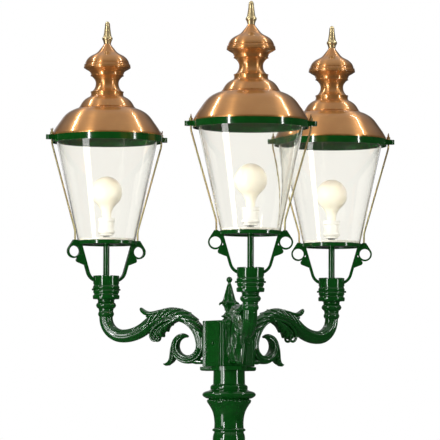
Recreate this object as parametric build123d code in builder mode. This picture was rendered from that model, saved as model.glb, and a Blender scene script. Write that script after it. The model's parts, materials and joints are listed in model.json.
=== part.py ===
"""Triple head lamp post: a hollow cast post with a hexagonal hub, three scroll arms and three
round lanterns with copper hoods. Millimetres, +Z up, origin on the ground on the post's axis.
The front arm points along -Y and the other two stand 120 degrees either side of it."""

import os
from math import atan, cos, degrees, pi, radians, sin

from build123d import *

# ---------------------------------------------------------------- post: driving dimensions
FOOT_RADIUS = 190
FOOT_THICKNESS = 18
FOOT_HEIGHT = 520
FOOT_WALL = 10
DRUM_FOOT_RADIUS = 104
DRUM_TOP_RADIUS = 92
DRUM_BASE_RISE = 92
DRUM_TOP_RISE = 330
DRUM_LIP_RADIUS = 102
DRUM_LIP_HEIGHT = 12
DRUM_FLUTES = 16
DRUM_FLUTE_RADIUS = 12
DRUM_FLUTE_DEPTH = 4
ANCHOR_CIRCLE_RADIUS = 160
ANCHOR_HOLES = 4
ANCHOR_HOLE_RADIUS = 9

SHAFT_LENGTH = 936
SHAFT_FOOT_RADIUS = 62
SHAFT_TOP_RADIUS = 48.5
SHAFT_NECK_RADIUS = 44.5
SHAFT_BAND_RISE = 330
SHAFT_BAND_RADIUS = 68
SHAFT_BORE_RADIUS = 30
FLUTES = 12
FLUTE_RADIUS = 7
FLUTE_MARGIN = 40

SPIGOT_RADIUS = 37
SPIGOT_LENGTH = 40
SPIGOT_CLEARANCE = 0.3
CAPITAL_HEIGHT = 181
NECK_RADIUS = 47
PIPE_BORE_RADIUS = 38

LEDGE_THICKNESS = 12
LEDGE_DISC_RADIUS = 54
LEDGE_LOBE_REACH = 84
LEDGE_LOBE_WIDTH = 49
LEDGE_EDGE_FILLET = 5

HUB_APOTHEM = 62
HUB_HEIGHT = 137
HUB_WALL = 9
HUB_ROOF = 10
WINDOW_WIDTH = 42
WINDOW_HEIGHT = 36
WINDOW_BRIDGE = 22
COVER_THICKNESS = 2.5
COVER_MARGIN = 5
COVER_SCREW_RADIUS = 3
COVER_SCREW_LENGTH = 13
COVER_SCREW_HEAD_RADIUS = 6.5
COVER_SCREW_HEAD_HEIGHT = 4.5

SPIRE_HEIGHT = 132
SPIRE_BALL_RADIUS = 9
SPIRE_STUD_RADIUS = 8
SPIRE_LEAVES = 6
SPIRE_LEAF_RADIUS = 5
SPIRE_LEAF_REACH = 25
SPIRE_LEAF_RISE = 55

# ---------------------------------------------------------------- arms: driving dimensions
ARM_AZIMUTHS = {"front": -90, "right": 30, "left": 150}
ARM_REACH = 400
ARM_SEAT_RISE = 207
ARM_TUBE_RADIUS = 20.5
ARM_BEND_RADIUS = 57
ARM_BELLY_RISE = 94.5
CREST_REACH = 177
CREST_RISE = 157
RISE_ARC_SHARE = 0.48
SCROLL_EYE_REACH = 132
SCROLL_EYE_RISE = 63
FLANGE_THICKNESS = 12
FLANGE_WIDTH = 62
REEDS = 8
REED_SHARE = 0.07
SHOULDER_STEPS = 4
# volute: angle round the eye, radius of the middle line, half width and half depth
VOLUTE = [(180, 42, 15.5, 18), (225, 41, 14.5, 18), (270, 40.5, 13.5, 18), (315, 41, 13.5, 18),
          (360, 41.5, 13, 17), (395, 39, 11, 15), (425, 34, 8, 12), (450, 28, 3.5, 8)]
# web that joins the scroll to its flange: inner reach, half depth, and its two levels
WEB_REACH = 91
WEB_HALF_DEPTH = 11
WEB_LEVELS = (40, 104)

# leaves: reach, rise above the hub's foot, half thickness and half depth of each oval
BROW_LEAF = [
    (CREST_REACH - 17, CREST_RISE + ARM_TUBE_RADIUS - 15, 6, 9),
    (CREST_REACH + 2, CREST_RISE + ARM_TUBE_RADIUS - 4, 7, 17),
    (CREST_REACH + 25, CREST_RISE + ARM_TUBE_RADIUS - 6.5, 7, 21),
    (CREST_REACH + 47, CREST_RISE + ARM_TUBE_RADIUS - 10.5, 6.5, 21),
    (CREST_REACH + 71, CREST_RISE + ARM_TUBE_RADIUS - 17, 7, 18),
    (CREST_REACH + 87, CREST_RISE + ARM_TUBE_RADIUS - 16.5, 6.5, 14),
    (CREST_REACH + 96, CREST_RISE + ARM_TUBE_RADIUS - 9, 5, 9),
    (CREST_REACH + 99, CREST_RISE + ARM_TUBE_RADIUS - 1, 3, 5),
]
BELLY_LEAF = [
    (CREST_REACH + 4, CREST_RISE - 17, 9, 13),
    (CREST_REACH + 20, CREST_RISE - 31, 13, 16),
    (CREST_REACH + 36, CREST_RISE - 44, 16, 18),
    (CREST_REACH + 51, CREST_RISE - 54, 17, 17),
    (CREST_REACH + 64, CREST_RISE - 62, 14, 14),
]
TAIL_LEAF = [
    (SCROLL_EYE_REACH + 40, SCROLL_EYE_RISE + 34, 4, 10),
    (SCROLL_EYE_REACH + 52, SCROLL_EYE_RISE + 18, 6.5, 13),
    (SCROLL_EYE_REACH + 56, SCROLL_EYE_RISE - 2, 7.5, 15),
    (SCROLL_EYE_REACH + 53, SCROLL_EYE_RISE - 21, 8, 15),
    (SCROLL_EYE_REACH + 52, SCROLL_EYE_RISE - 37, 8, 14),
    (SCROLL_EYE_REACH + 58, SCROLL_EYE_RISE - 49, 7, 11),
    (SCROLL_EYE_REACH + 68, SCROLL_EYE_RISE - 55, 5, 8),
    (SCROLL_EYE_REACH + 77, SCROLL_EYE_RISE - 53, 2.5, 4),
]
FOOT_LEAF = [
    (HUB_APOTHEM + 6, 12, 6, 11),
    (HUB_APOTHEM + 24, 15, 7, 13),
    (HUB_APOTHEM + 44, 16, 8, 14),
    (HUB_APOTHEM + 66, 20, 7, 12),
]
# curl and lobes at the belly leaf's end: reach past the crest and drop below it
CURL_REACH = 60
CURL_DROP = 65
CURL_RADIUS = 15.6
CURL_HALF_DEPTH = 15
CURL_EYE_RADIUS = 6
CURL_EYE_PROUD = 3
LOBES = [(10, 24, 11), (22, 37, 11), (31, 50, 11.5), (40, 60, 11)]

ARM_NECK_HEIGHT = 35
BALUSTER_OUTLINE = [
    [(ARM_TUBE_RADIUS - 4, -20), (ARM_TUBE_RADIUS + 1.5, -17)],
    [(ARM_TUBE_RADIUS + 1.5, -17), (24.5, -9), (ARM_TUBE_RADIUS + 1, 0)],
    [(ARM_TUBE_RADIUS + 1, 0), (22, 5)],
    [(22, 5), (30.5, 16), (25, 27)],
    [(25, 27), (24, 30), (28, ARM_NECK_HEIGHT)],
]
SPIGOT_TUBE_RADIUS = 26
SPIGOT_TUBE_HEIGHT = 30
ARM_BOLT_RADIUS = 5
ARM_BOLT_CLEARANCE = 0.3
ARM_BOLT_SPACING = 84
ARM_BOLT_DEPTH = 9
ARM_BOLT_HEAD_RADIUS = 9.8
ARM_BOLT_HEAD_HEIGHT = 6.4

# ---------------------------------------------------------------- lantern: driving dimensions
LANTERN_TURNS = {"front": -8, "right": -8, "left": 10}
FIT_GAP = 0.3
THREAD_GAP = 0.1

SOCKET_BEAD_RADIUS = 40.5
SOCKET_WAIST_RADIUS = 37
SOCKET_HEIGHT = 46
SOCKET_OUTLINE = [
    [(SOCKET_BEAD_RADIUS - 1, 0), (SOCKET_BEAD_RADIUS, 4), (SOCKET_BEAD_RADIUS, 11)],
    [(SOCKET_BEAD_RADIUS, 11), (SOCKET_WAIST_RADIUS, 14), (SOCKET_WAIST_RADIUS, 16.5)],
    [(SOCKET_WAIST_RADIUS, 16.5), (SOCKET_BEAD_RADIUS - 1, 22), (SOCKET_WAIST_RADIUS, 28)],
    [(SOCKET_WAIST_RADIUS, 28), (SOCKET_BEAD_RADIUS, 35), (SOCKET_WAIST_RADIUS + 1, 41)],
    [(SOCKET_WAIST_RADIUS + 1, 41), (SOCKET_WAIST_RADIUS + 1, SOCKET_HEIGHT)],
]
SOCKET_BOSS_RADIUS = 30
SOCKET_BOSS_HEIGHT = 19
SET_SCREW_RADIUS = 3
SET_SCREW_RISE = 28.5
SET_SCREW_PROUD = 4

COLLAR_RADIUS = 39.5
COLLAR_HEIGHT = 22
CAGE_RISE = 176
RING_RADIUS = 92
RING_HEIGHT = 12
RING_EDGE = 1.5
RING_LEDGE_RADIUS = 77
RING_LEDGE_HEIGHT = 4
LEG_THICKNESS = 8.6
LEG_WIDTH = 15
LEG_TOP_REACH = 83
LEG_KNEE_REACH = 58
LEG_KNEE_RISE = 80
LEG_FOOT_RISE = 57
EAR_REACH = 101.8
EAR_RISE = 143.6
EAR_HOLE_RADIUS = 16.3
EAR_WALL = 5
EAR_PAD_INNER = 94
EAR_PAD_OUTER = 105
EAR_PAD_RISE = 178
LEG_SINK = 2
SPUR_ROOT = [(66, 101), (74, 138), (84, 133)]
SPUR_REACH = 88
SPUR_RISE = 117
SPUR_RADIUS = 7

PLATE_THICKNESS = 3
STEM_RADIUS = 9.5
STEM_BORE_RADIUS = 4.5
NIPPLE_RADIUS = 6.5
STEM_SEAT_DEPTH = 12
NUT_RADIUS = 10.5
NUT_HEIGHT = 5.5
HOLDER_RISE = 16
HOLDER_RADIUS = 25.5
HOLDER_HEIGHT = 53
HOLDER_BORE_DEPTH = 30
HOLDER_OUTLINE = [
    [(HOLDER_RADIUS - 5, 0), (HOLDER_RADIUS - 5, 5)],
    [(HOLDER_RADIUS - 5, 5), (HOLDER_RADIUS, 9), (HOLDER_RADIUS, 15)],
    [(HOLDER_RADIUS, 15), (HOLDER_RADIUS - 2, 17)],
    [(HOLDER_RADIUS - 2, 17), (HOLDER_RADIUS - 2, HOLDER_HEIGHT - 12)],
    [(HOLDER_RADIUS - 2, HOLDER_HEIGHT - 12), (HOLDER_RADIUS, HOLDER_HEIGHT - 10)],
    [(HOLDER_RADIUS, HOLDER_HEIGHT - 10), (HOLDER_RADIUS, HOLDER_HEIGHT)],
]
LAMP_CAP_RADIUS = 13.2
LAMP_CAP_HEIGHT = 27
LAMP_TIP_RADIUS = 5
LAMP_TIP_HEIGHT = 2
GLOBE_RADIUS = 47.5
GLOBE_RISE = 80
GLOBE_WALL = 1.2
GLOBE_NECK_HEIGHT = 3
GLOBE_NECK_TURN = 40

GLASS_FOOT_RADIUS = 86.5
GLASS_TOP_RADIUS = 155.4
GLASS_HEIGHT = 317
GLASS_WALL = 4
GASKET_WALL = 2.5
GASKET_HEIGHT = 12

HOOD_RING_RADIUS = 168
HOOD_RING_HEIGHT = 20
HOOD_RING_WALL = 4
HOOD_RING_LAND = 148
HOOD_COLLAR_RADIUS = 160.5
HOOD_COLLAR_HEIGHT = 9
LUG_END_REACH = 192
LUG_WIDTH = 20
LUG_THICKNESS = 14
ROD_RADIUS = 2.75
ROD_FOOT_REACH = 99
ROD_TOP_REACH = 173.5
ROD_FOOT_STRAIGHT = 28
ROD_TOP_STRAIGHT = 12
ROD_BEND_RADIUS = 60
ROD_SINK = 10
ROD_PROUD = 15
LUG_HOLE_GAP = 0.6
WING_HUB_RADIUS = 6.3
WING_HUB_HEIGHT = 9
WING_HUB_TAPER = 6
WING_LIFT = 0.2
WING_FOOT_RISE = 3
WING_TIP_REACH = 9.5
WING_TIP_RISE = 17.5
WING_TIP_RADIUS = 3.2
WING_THICKNESS = 3

SHEET = 1.5
HOOD_RADIUS = 166.5
HOOD_HEIGHT = 86
CHIMNEY_HEIGHT = 122
CAP_HEIGHT = 73
FINIAL_HEIGHT = 69
# spun and turned outlines: spans of (radius, height above the piece's own foot)
HOOD_OUTLINE = [
    [(HOOD_RADIUS, 0), (HOOD_RADIUS + 0.3, 3), (HOOD_RADIUS - 1, 7)],
    [(HOOD_RADIUS - 1, 7), (155.5, 24.7), (142.6, 43), (128.8, 61.3), (113.9, 73.5), (94.6, 82.6),
     (86, HOOD_HEIGHT - 0.8)],
    [(86, HOOD_HEIGHT - 0.8), (85, HOOD_HEIGHT)],
    [(85, HOOD_HEIGHT), (77, HOOD_HEIGHT)],
]
CHIMNEY_OUTLINE = [
    [(84, 0), (84, 2)],
    [(84, 2), (80.3, 8.8), (72, 21), (65.4, 27), (55.1, 33.2), (49.3, 36.3)],
    [(49.3, 36.3), (49.3, 48.5)],
    [(49.3, 48.5), (39.5, 57.6), (35.7, 66.7), (36.1, 82), (39.3, 88), (48.8, 97)],
    [(48.8, 97), (50, 106.4)],
    [(50, 106.4), (55.3, 112), (64, 117), (68.2, CHIMNEY_HEIGHT - 2)],
    [(68.2, CHIMNEY_HEIGHT - 2), (68.2, CHIMNEY_HEIGHT)],
]
CAP_OUTLINE = [
    [(60, 0), (70.2, 0)],
    [(70.2, 0), (70.9, 3.5), (69.1, 8.8)],
    [(69.1, 8.8), (66.6, 11.8), (66.2, 15)],
    [(66.2, 15), (57.8, 30), (50, 36.2), (38.5, 42.3), (29.5, 48.4), (19.3, 60.6), (14.2, 66.7),
     (11, CAP_HEIGHT - 0.8)],
    [(11, CAP_HEIGHT - 0.8), (10.6, CAP_HEIGHT)],
    [(10.6, CAP_HEIGHT), (3, CAP_HEIGHT)],
]
FINIAL_OUTLINE = [
    [(10.4, 0), (12.2, 6), (12.9, 9)],
    [(12.9, 9), (16.1, 15.5), (14.4, 21), (9.7, 24)],
    [(9.7, 24), (6.9, 30), (6.1, 39)],
    [(6.1, 39), (3.8, 42.5), (3.5, 46)],
    [(3.5, 46), (6, 49.5), (8.4, 56), (6, 60), (3.2, 62)],
    [(3.2, 62), (1.2, FINIAL_HEIGHT)],
]

# ---------------------------------------------------------------- levels that follow
FOOT_CAP_Z = DRUM_TOP_RISE + DRUM_LIP_HEIGHT
FOOT_CAP_HEIGHT = FOOT_HEIGHT - FOOT_CAP_Z
SHAFT_Z = FOOT_HEIGHT
CAPITAL_Z = SHAFT_Z + SHAFT_LENGTH
LEDGE_Z = CAPITAL_Z + CAPITAL_HEIGHT
HUB_Z = LEDGE_Z + LEDGE_THICKNESS
SPIRE_Z = HUB_Z + HUB_HEIGHT
LANTERN_Z = HUB_Z + ARM_SEAT_RISE

# the levels from here on are measured from the lantern's seat on its arm
RING_Z = CAGE_RISE - RING_HEIGHT
PLATE_Z = RING_Z + RING_LEDGE_HEIGHT
PLATE_TOP = PLATE_Z + PLATE_THICKNESS
STEM_Z = SOCKET_HEIGHT + SOCKET_BOSS_HEIGHT - STEM_SEAT_DEPTH
ROD_PAD_Z = EAR_PAD_RISE
HOLDER_Z = CAGE_RISE + HOLDER_RISE
HOLDER_TOP = HOLDER_Z + HOLDER_HEIGHT
NIPPLE_TOP = HOLDER_Z + 3
LAMP_Z = HOLDER_TOP - HOLDER_BORE_DEPTH + FIT_GAP
LAMP_CAP_TOP = LAMP_Z + LAMP_TIP_HEIGHT + LAMP_CAP_HEIGHT
GLOBE_Z = LAMP_CAP_TOP + GLOBE_RISE
GLASS_Z = PLATE_Z + GASKET_WALL
GLASS_TOP = GLASS_Z + GLASS_HEIGHT
LAND_Z = GLASS_TOP + GASKET_WALL + FIT_GAP
HOOD_Z = LAND_Z + HOOD_RING_WALL
RING_FOOT_Z = HOOD_Z - HOOD_RING_HEIGHT
LUG_Z = HOOD_Z - LUG_THICKNESS
CHIMNEY_Z = HOOD_Z + HOOD_HEIGHT
CAP_Z = CHIMNEY_Z + CHIMNEY_HEIGHT
FINIAL_Z = CAP_Z + CAP_HEIGHT
GLASS_FLARE = (GLASS_TOP_RADIUS - GLASS_FOOT_RADIUS) / GLASS_HEIGHT
GASKET_INNER_RADIUS = GLASS_FOOT_RADIUS - GLASS_WALL - GASKET_WALL
RING_BORE_RADIUS = GLASS_FOOT_RADIUS + GASKET_WALL + FIT_GAP


# ---------------------------------------------------------------- shared helpers
def write(part, name):
    """Label a finished piece and write its STEP file."""
    part.label = name
    export_step(part, f"parts/{name}.step")


def lantern_place(arm):
    """Where a lantern's own frame stands: its seat on the arm, turned about its own axis."""
    azimuth = radians(ARM_AZIMUTHS[arm])
    seat = (ARM_REACH * cos(azimuth), ARM_REACH * sin(azimuth), LANTERN_Z)
    return Location(seat, (0, 0, LANTERN_TURNS[arm]))


def write_per_lantern(part, name):
    """Write one copy of a lantern piece for each arm, every one in its own node."""
    for arm in ARM_AZIMUTHS:
        write(part.moved(lantern_place(arm)), f"{name}_{arm}")


def write_as_group(part, name):
    """Write the three lanterns' copies of a small piece as one node of separate solids."""
    copies = [part.moved(lantern_place(arm)) for arm in ARM_AZIMUTHS]
    write(Compound(children=copies), name)


def spans(outline, rise):
    """Lay an outline of (radius, height) spans: two points make a line, more make a spline."""
    for span in outline:
        lifted = [(radius, height + rise) for radius, height in span]
        if len(lifted) == 2:
            Line(*lifted)
        else:
            Spline(*lifted)


def inset(outline, wall):
    """The same spans moved inwards by the sheet's thickness, square to the outline."""
    chain = [outline[0][0]]
    for span in outline:
        chain += span[1:]
    moved = {}
    for index, point in enumerate(chain):
        before = Vector(*chain[max(index - 1, 0)])
        after = Vector(*chain[min(index + 1, len(chain) - 1)])
        along = (after - before).normalized()
        moved[point] = (point[0] - wall * along.Y, point[1] + wall * along.X)
    return [[moved[point] for point in span] for span in outline]


def spun_sheet(outline, rise):
    """A spun copper piece: the outline and its inset, closed at both ends and revolved."""
    inner = inset(outline, SHEET)
    feet, tops = (outline[0][0], inner[0][0]), (outline[-1][-1], inner[-1][-1])
    with BuildPart() as piece:
        with BuildSketch(Plane.XZ):
            with BuildLine():
                spans(outline, rise)
                spans(inner, rise)
                spans([feet], rise)
                spans([tops], rise)
            make_face()
        revolve(axis=Axis.Z)
    return piece.part


def turned(outline, rise, bore):
    """A turned or cast round piece: the outline's spans closed down to a bore's radius."""
    foot, top = outline[0][0], outline[-1][-1]
    with BuildPart() as piece:
        with BuildSketch(Plane.XZ):
            with BuildLine():
                spans(outline, rise)
                Polyline((top[0], top[1] + rise), (bore, top[1] + rise),
                         (bore, foot[1] + rise), (foot[0], foot[1] + rise))
            make_face()
        revolve(axis=Axis.Z)
    return piece.part


# ---------------------------------------------------------------- post
def post_foot():
    """Foot casting: anchor flange, mouldings and fluted drum, hollow and open at both ends."""
    drum_lip = DRUM_FOOT_RADIUS + 8
    outline = [
        [(FOOT_RADIUS, 0), (FOOT_RADIUS, FOOT_THICKNESS - 3)],
        [(FOOT_RADIUS, FOOT_THICKNESS - 3), (FOOT_RADIUS - 3, FOOT_THICKNESS)],
        [(FOOT_RADIUS - 3, FOOT_THICKNESS), (drum_lip + 18, FOOT_THICKNESS)],
        [(drum_lip + 18, FOOT_THICKNESS), (drum_lip + 6, 34), (drum_lip, 60)],
        [(drum_lip, 60), (drum_lip + 6, 70), (drum_lip, 80)],
        [(drum_lip, 80), (DRUM_FOOT_RADIUS, DRUM_BASE_RISE)],
        [(DRUM_FOOT_RADIUS, DRUM_BASE_RISE), (DRUM_TOP_RADIUS, DRUM_TOP_RISE)],
        [(DRUM_TOP_RADIUS, DRUM_TOP_RISE), (DRUM_LIP_RADIUS, FOOT_CAP_Z)],
    ]
    hollow_foot = DRUM_FOOT_RADIUS - FOOT_WALL
    hollow_top = DRUM_TOP_RADIUS - FOOT_WALL
    flute_slope = atan((DRUM_FOOT_RADIUS - DRUM_TOP_RADIUS) / (DRUM_TOP_RISE - DRUM_BASE_RISE))
    flute_reach = (DRUM_FOOT_RADIUS + DRUM_TOP_RADIUS) / 2 + DRUM_FLUTE_RADIUS - DRUM_FLUTE_DEPTH
    flute_length = DRUM_TOP_RISE - DRUM_BASE_RISE - 2 * FLUTE_MARGIN
    flute_tilt = (0, -degrees(flute_slope), 0)
    with BuildPart() as foot:
        add(turned(outline, 0, SPIGOT_RADIUS))
        with BuildSketch(Plane.XZ):
            with BuildLine():
                Polyline((0, 0), (hollow_foot, 0), (hollow_foot, DRUM_BASE_RISE),
                         (hollow_top, DRUM_TOP_RISE), (hollow_top, FOOT_CAP_Z), (0, FOOT_CAP_Z), close=True)
            make_face()
        revolve(axis=Axis.Z, mode=Mode.SUBTRACT)
        with PolarLocations(ANCHOR_CIRCLE_RADIUS, ANCHOR_HOLES, start_angle=45):
            Hole(ANCHOR_HOLE_RADIUS, FOOT_THICKNESS * 3)
        flute_middle = Location((flute_reach, 0, (DRUM_BASE_RISE + DRUM_TOP_RISE) / 2), flute_tilt)
        with PolarLocations(0, DRUM_FLUTES):
            with Locations(flute_middle):
                Cylinder(DRUM_FLUTE_RADIUS, flute_length, mode=Mode.SUBTRACT)
    return foot.part


def foot_cap():
    """Bell-shaped cap on the drum's lip: a bead, a sweep, a bead and the seat of the shaft."""
    collar = SHAFT_FOOT_RADIUS + 6
    top = FOOT_CAP_HEIGHT
    outline = [
        [(DRUM_LIP_RADIUS, 0), (DRUM_LIP_RADIUS + 4, 7), (DRUM_LIP_RADIUS, 14)],
        [(DRUM_LIP_RADIUS, 14), (DRUM_LIP_RADIUS - 14, 40), (collar + 8, 72), (collar, top - 56)],
        [(collar, top - 56), (collar + 8, top - 46), (collar, top - 36)],
        [(collar, top - 36), (collar - 3, top - 20), (collar, top)],
    ]
    seat_bore = SPIGOT_RADIUS + SPIGOT_CLEARANCE
    hollow_top = FOOT_CAP_Z + FOOT_CAP_HEIGHT - 2 * SPIGOT_LENGTH
    with BuildPart() as cap:
        add(turned(outline, FOOT_CAP_Z, seat_bore))
        with BuildSketch(Plane.XZ):
            with BuildLine():
                Polyline((0, FOOT_CAP_Z), (DRUM_TOP_RADIUS - FOOT_WALL, FOOT_CAP_Z),
                         (seat_bore, hollow_top), (0, hollow_top), close=True)
            make_face()
        revolve(axis=Axis.Z, mode=Mode.SUBTRACT)
    return cap.part


def flute_cutter(length):
    """A round-ended bar along Z, centred on the origin, that cuts one flute."""
    radius, half = FLUTE_RADIUS, length / 2
    quarter = radius * sin(radians(45))
    with BuildPart() as cutter:
        with BuildSketch(Plane.XZ):
            with BuildLine():
                Line((0, -half - radius), (0, half + radius))
                ThreePointArc((0, half + radius), (quarter, half + quarter), (radius, half))
                Line((radius, half), (radius, -half))
                ThreePointArc((radius, -half), (quarter, -half - quarter), (0, -half - radius))
            make_face()
        revolve(axis=Axis.Z)
    return cutter.part


def post_shaft():
    """Fluted shaft: a tapering hollow column with a band, round-ended flutes and two spigots."""
    band = SHAFT_BAND_RADIUS
    taper = (SHAFT_FOOT_RADIUS - SHAFT_TOP_RADIUS) / SHAFT_LENGTH

    def skin(rise):
        return SHAFT_FOOT_RADIUS - taper * rise

    band_foot, band_top = SHAFT_BAND_RISE - 26, SHAFT_BAND_RISE + 26
    outline = [
        [(skin(0), 0), (skin(band_foot), band_foot)],
        [(skin(band_foot), band_foot), (band - 3, band_foot + 8), (band - 5, band_foot + 16)],
        [(band - 5, band_foot + 16), (band, SHAFT_BAND_RISE), (band - 5, band_top - 16)],
        [(band - 5, band_top - 16), (band - 3, band_top - 8), (skin(band_top), band_top)],
        [(skin(band_top), band_top), (SHAFT_TOP_RADIUS, SHAFT_LENGTH - 20)],
        [(SHAFT_TOP_RADIUS, SHAFT_LENGTH - 20), (SHAFT_TOP_RADIUS - 1, SHAFT_LENGTH - 12),
         (SHAFT_NECK_RADIUS, SHAFT_LENGTH - 3)],
        [(SHAFT_NECK_RADIUS, SHAFT_LENGTH - 3), (SHAFT_NECK_RADIUS, SHAFT_LENGTH)],
    ]
    tilt = (0, -degrees(atan(taper)), 0)
    runs = [(FLUTE_MARGIN, band_foot - FLUTE_MARGIN), (band_top + FLUTE_MARGIN, SHAFT_LENGTH - FLUTE_MARGIN)]
    with BuildPart() as shaft:
        add(turned(outline, SHAFT_Z, SHAFT_BORE_RADIUS))
        for foot, top in runs:
            middle = (foot + top) / 2
            with PolarLocations(0, FLUTES):
                with Locations(Location((skin(middle) + FLUTE_RADIUS / 3, 0, SHAFT_Z + middle), tilt)):
                    add(flute_cutter(top - foot), mode=Mode.SUBTRACT)
        for seat, side in ((SHAFT_Z, -1), (CAPITAL_Z, 1)):
            with BuildSketch(Plane.XY.offset(seat)):
                Circle(SPIGOT_RADIUS)
                Circle(SHAFT_BORE_RADIUS, mode=Mode.SUBTRACT)
            extrude(amount=side * SPIGOT_LENGTH)
    return shaft.part


def post_capital():
    """Capital: bead, trumpet, bead lip, lens-shaped disc, step ring and the plain neck pipe."""
    outline = [
        [(SHAFT_NECK_RADIUS, 0), (NECK_RADIUS + 3, 4.5), (SHAFT_NECK_RADIUS, 10)],
        [(SHAFT_NECK_RADIUS, 10), (43.7, 20), (44.4, 37), (49, 59), (56.5, 74), (62.5, 83)],
        [(62.5, 83), (65, 87), (61.5, 92)],
        [(61.5, 92), (60.4, 95), (62, 98)],
        [(62, 98), (75, 103), (80, 110), (75, 117), (62, 121.5), (57, 124)],
        [(57, 124), (55, 126)],
        [(55, 126), (56, 130), (55, 136)],
        [(55, 136), (51, 139), (NECK_RADIUS + 0.8, 141)],
        [(NECK_RADIUS + 0.8, 141), (NECK_RADIUS, CAPITAL_HEIGHT)],
    ]
    return turned(outline, CAPITAL_Z, PIPE_BORE_RADIUS)


def ledge_plate():
    """Plate under the hub: a disc with a lobe reaching out under each arm, cable hole inside."""
    with BuildPart() as ledge:
        with BuildSketch(Plane.XY.offset(LEDGE_Z)):
            Circle(LEDGE_DISC_RADIUS)
            for azimuth in ARM_AZIMUTHS.values():
                with PolarLocations(LEDGE_LOBE_REACH / 2, 1, start_angle=azimuth):
                    Rectangle(LEDGE_LOBE_REACH, LEDGE_LOBE_WIDTH)
            Circle(SHAFT_BORE_RADIUS, mode=Mode.SUBTRACT)
        extrude(amount=LEDGE_THICKNESS)
        rim = ledge.edges().group_by(Axis.Z)[0].filter_by(GeomType.LINE)
        fillet(rim, LEDGE_EDGE_FILLET)
    return ledge.part


def hub_faces():
    """Planes on the hub's three open faces, between the arms, at the hub's middle height."""
    middle = HUB_Z + HUB_HEIGHT / 2
    planes = []
    for azimuth in ARM_AZIMUTHS.values():
        out = Vector(1, 0, 0).rotate(Axis.Z, azimuth + 60)
        planes.append(Plane(origin=out * HUB_APOTHEM + Vector(0, 0, middle), x_dir=(0, 0, 1), z_dir=out))
    return planes


def arm_bolt_places():
    """Axes of the arm bolts, on the inner faces of the hub wall, pointing out into the arms."""
    middle = HUB_Z + HUB_HEIGHT / 2
    places = []
    for azimuth in ARM_AZIMUTHS.values():
        out = Vector(1, 0, 0).rotate(Axis.Z, azimuth)
        for side in (-0.5, 0.5):
            seat = out * (HUB_APOTHEM - HUB_WALL) + Vector(0, 0, middle + side * ARM_BOLT_SPACING)
            places.append(Plane(origin=seat, x_dir=(0, 0, 1), z_dir=out).location)
    return places


def hub_box():
    """Hexagonal hub: walls and roof, two windows over a bridge in each open face."""
    with BuildPart() as hub:
        with BuildSketch(Plane.XY.offset(HUB_Z)):
            RegularPolygon(HUB_APOTHEM, 6, major_radius=False)
        extrude(amount=HUB_HEIGHT)
        with BuildSketch(Plane.XY.offset(HUB_Z)):
            RegularPolygon(HUB_APOTHEM - HUB_WALL, 6, major_radius=False)
        extrude(amount=HUB_HEIGHT - HUB_ROOF, mode=Mode.SUBTRACT)
        offset_rise = (WINDOW_BRIDGE + WINDOW_HEIGHT) / 2
        for plane in hub_faces():
            with BuildSketch(plane):
                with Locations((offset_rise, 0), (-offset_rise, 0)):
                    Rectangle(WINDOW_HEIGHT, WINDOW_WIDTH)
                Circle(COVER_SCREW_RADIUS + THREAD_GAP)
            extrude(amount=-HUB_WALL * 1.2, mode=Mode.SUBTRACT)
        with Locations(*arm_bolt_places()):
            Cylinder(ARM_BOLT_RADIUS + ARM_BOLT_CLEARANCE, HUB_WALL * 3, mode=Mode.SUBTRACT)
        with Locations((0, 0, SPIRE_Z - HUB_ROOF / 2)):
            Cylinder(SPIRE_STUD_RADIUS + THREAD_GAP, HUB_ROOF * 1.5, mode=Mode.SUBTRACT)
    return hub.part


def hub_covers():
    """Three cover plates, one over each open face of the hub."""
    face_width = 2 * HUB_APOTHEM / cos(radians(30)) * 0.5
    with BuildPart() as covers:
        for plane in hub_faces():
            with BuildSketch(plane):
                RectangleRounded(HUB_HEIGHT - 2 * COVER_MARGIN, face_width - 2 * COVER_MARGIN, COVER_MARGIN)
                Circle(COVER_SCREW_RADIUS + THREAD_GAP, mode=Mode.SUBTRACT)
            extrude(amount=COVER_THICKNESS)
    return covers.part


def cover_screws():
    """Round-head screws through the covers into the bridges."""
    with BuildPart() as screws:
        for plane in hub_faces():
            head = plane.offset(COVER_THICKNESS)
            with BuildSketch(head.offset(COVER_THICKNESS - COVER_SCREW_LENGTH)):
                Circle(COVER_SCREW_RADIUS)
            extrude(amount=COVER_SCREW_LENGTH - COVER_THICKNESS + 0.5)
            with BuildSketch(head):
                Circle(COVER_SCREW_HEAD_RADIUS)
            extrude(amount=COVER_SCREW_HEAD_HEIGHT)
        crowns = screws.faces().filter_by(GeomType.PLANE).sort_by(
            lambda face: -Vector(face.center().X, face.center().Y, 0).length)[0:3]
        fillet(crowns.edges(), COVER_SCREW_HEAD_HEIGHT * 0.7)
    return screws.part


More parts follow.
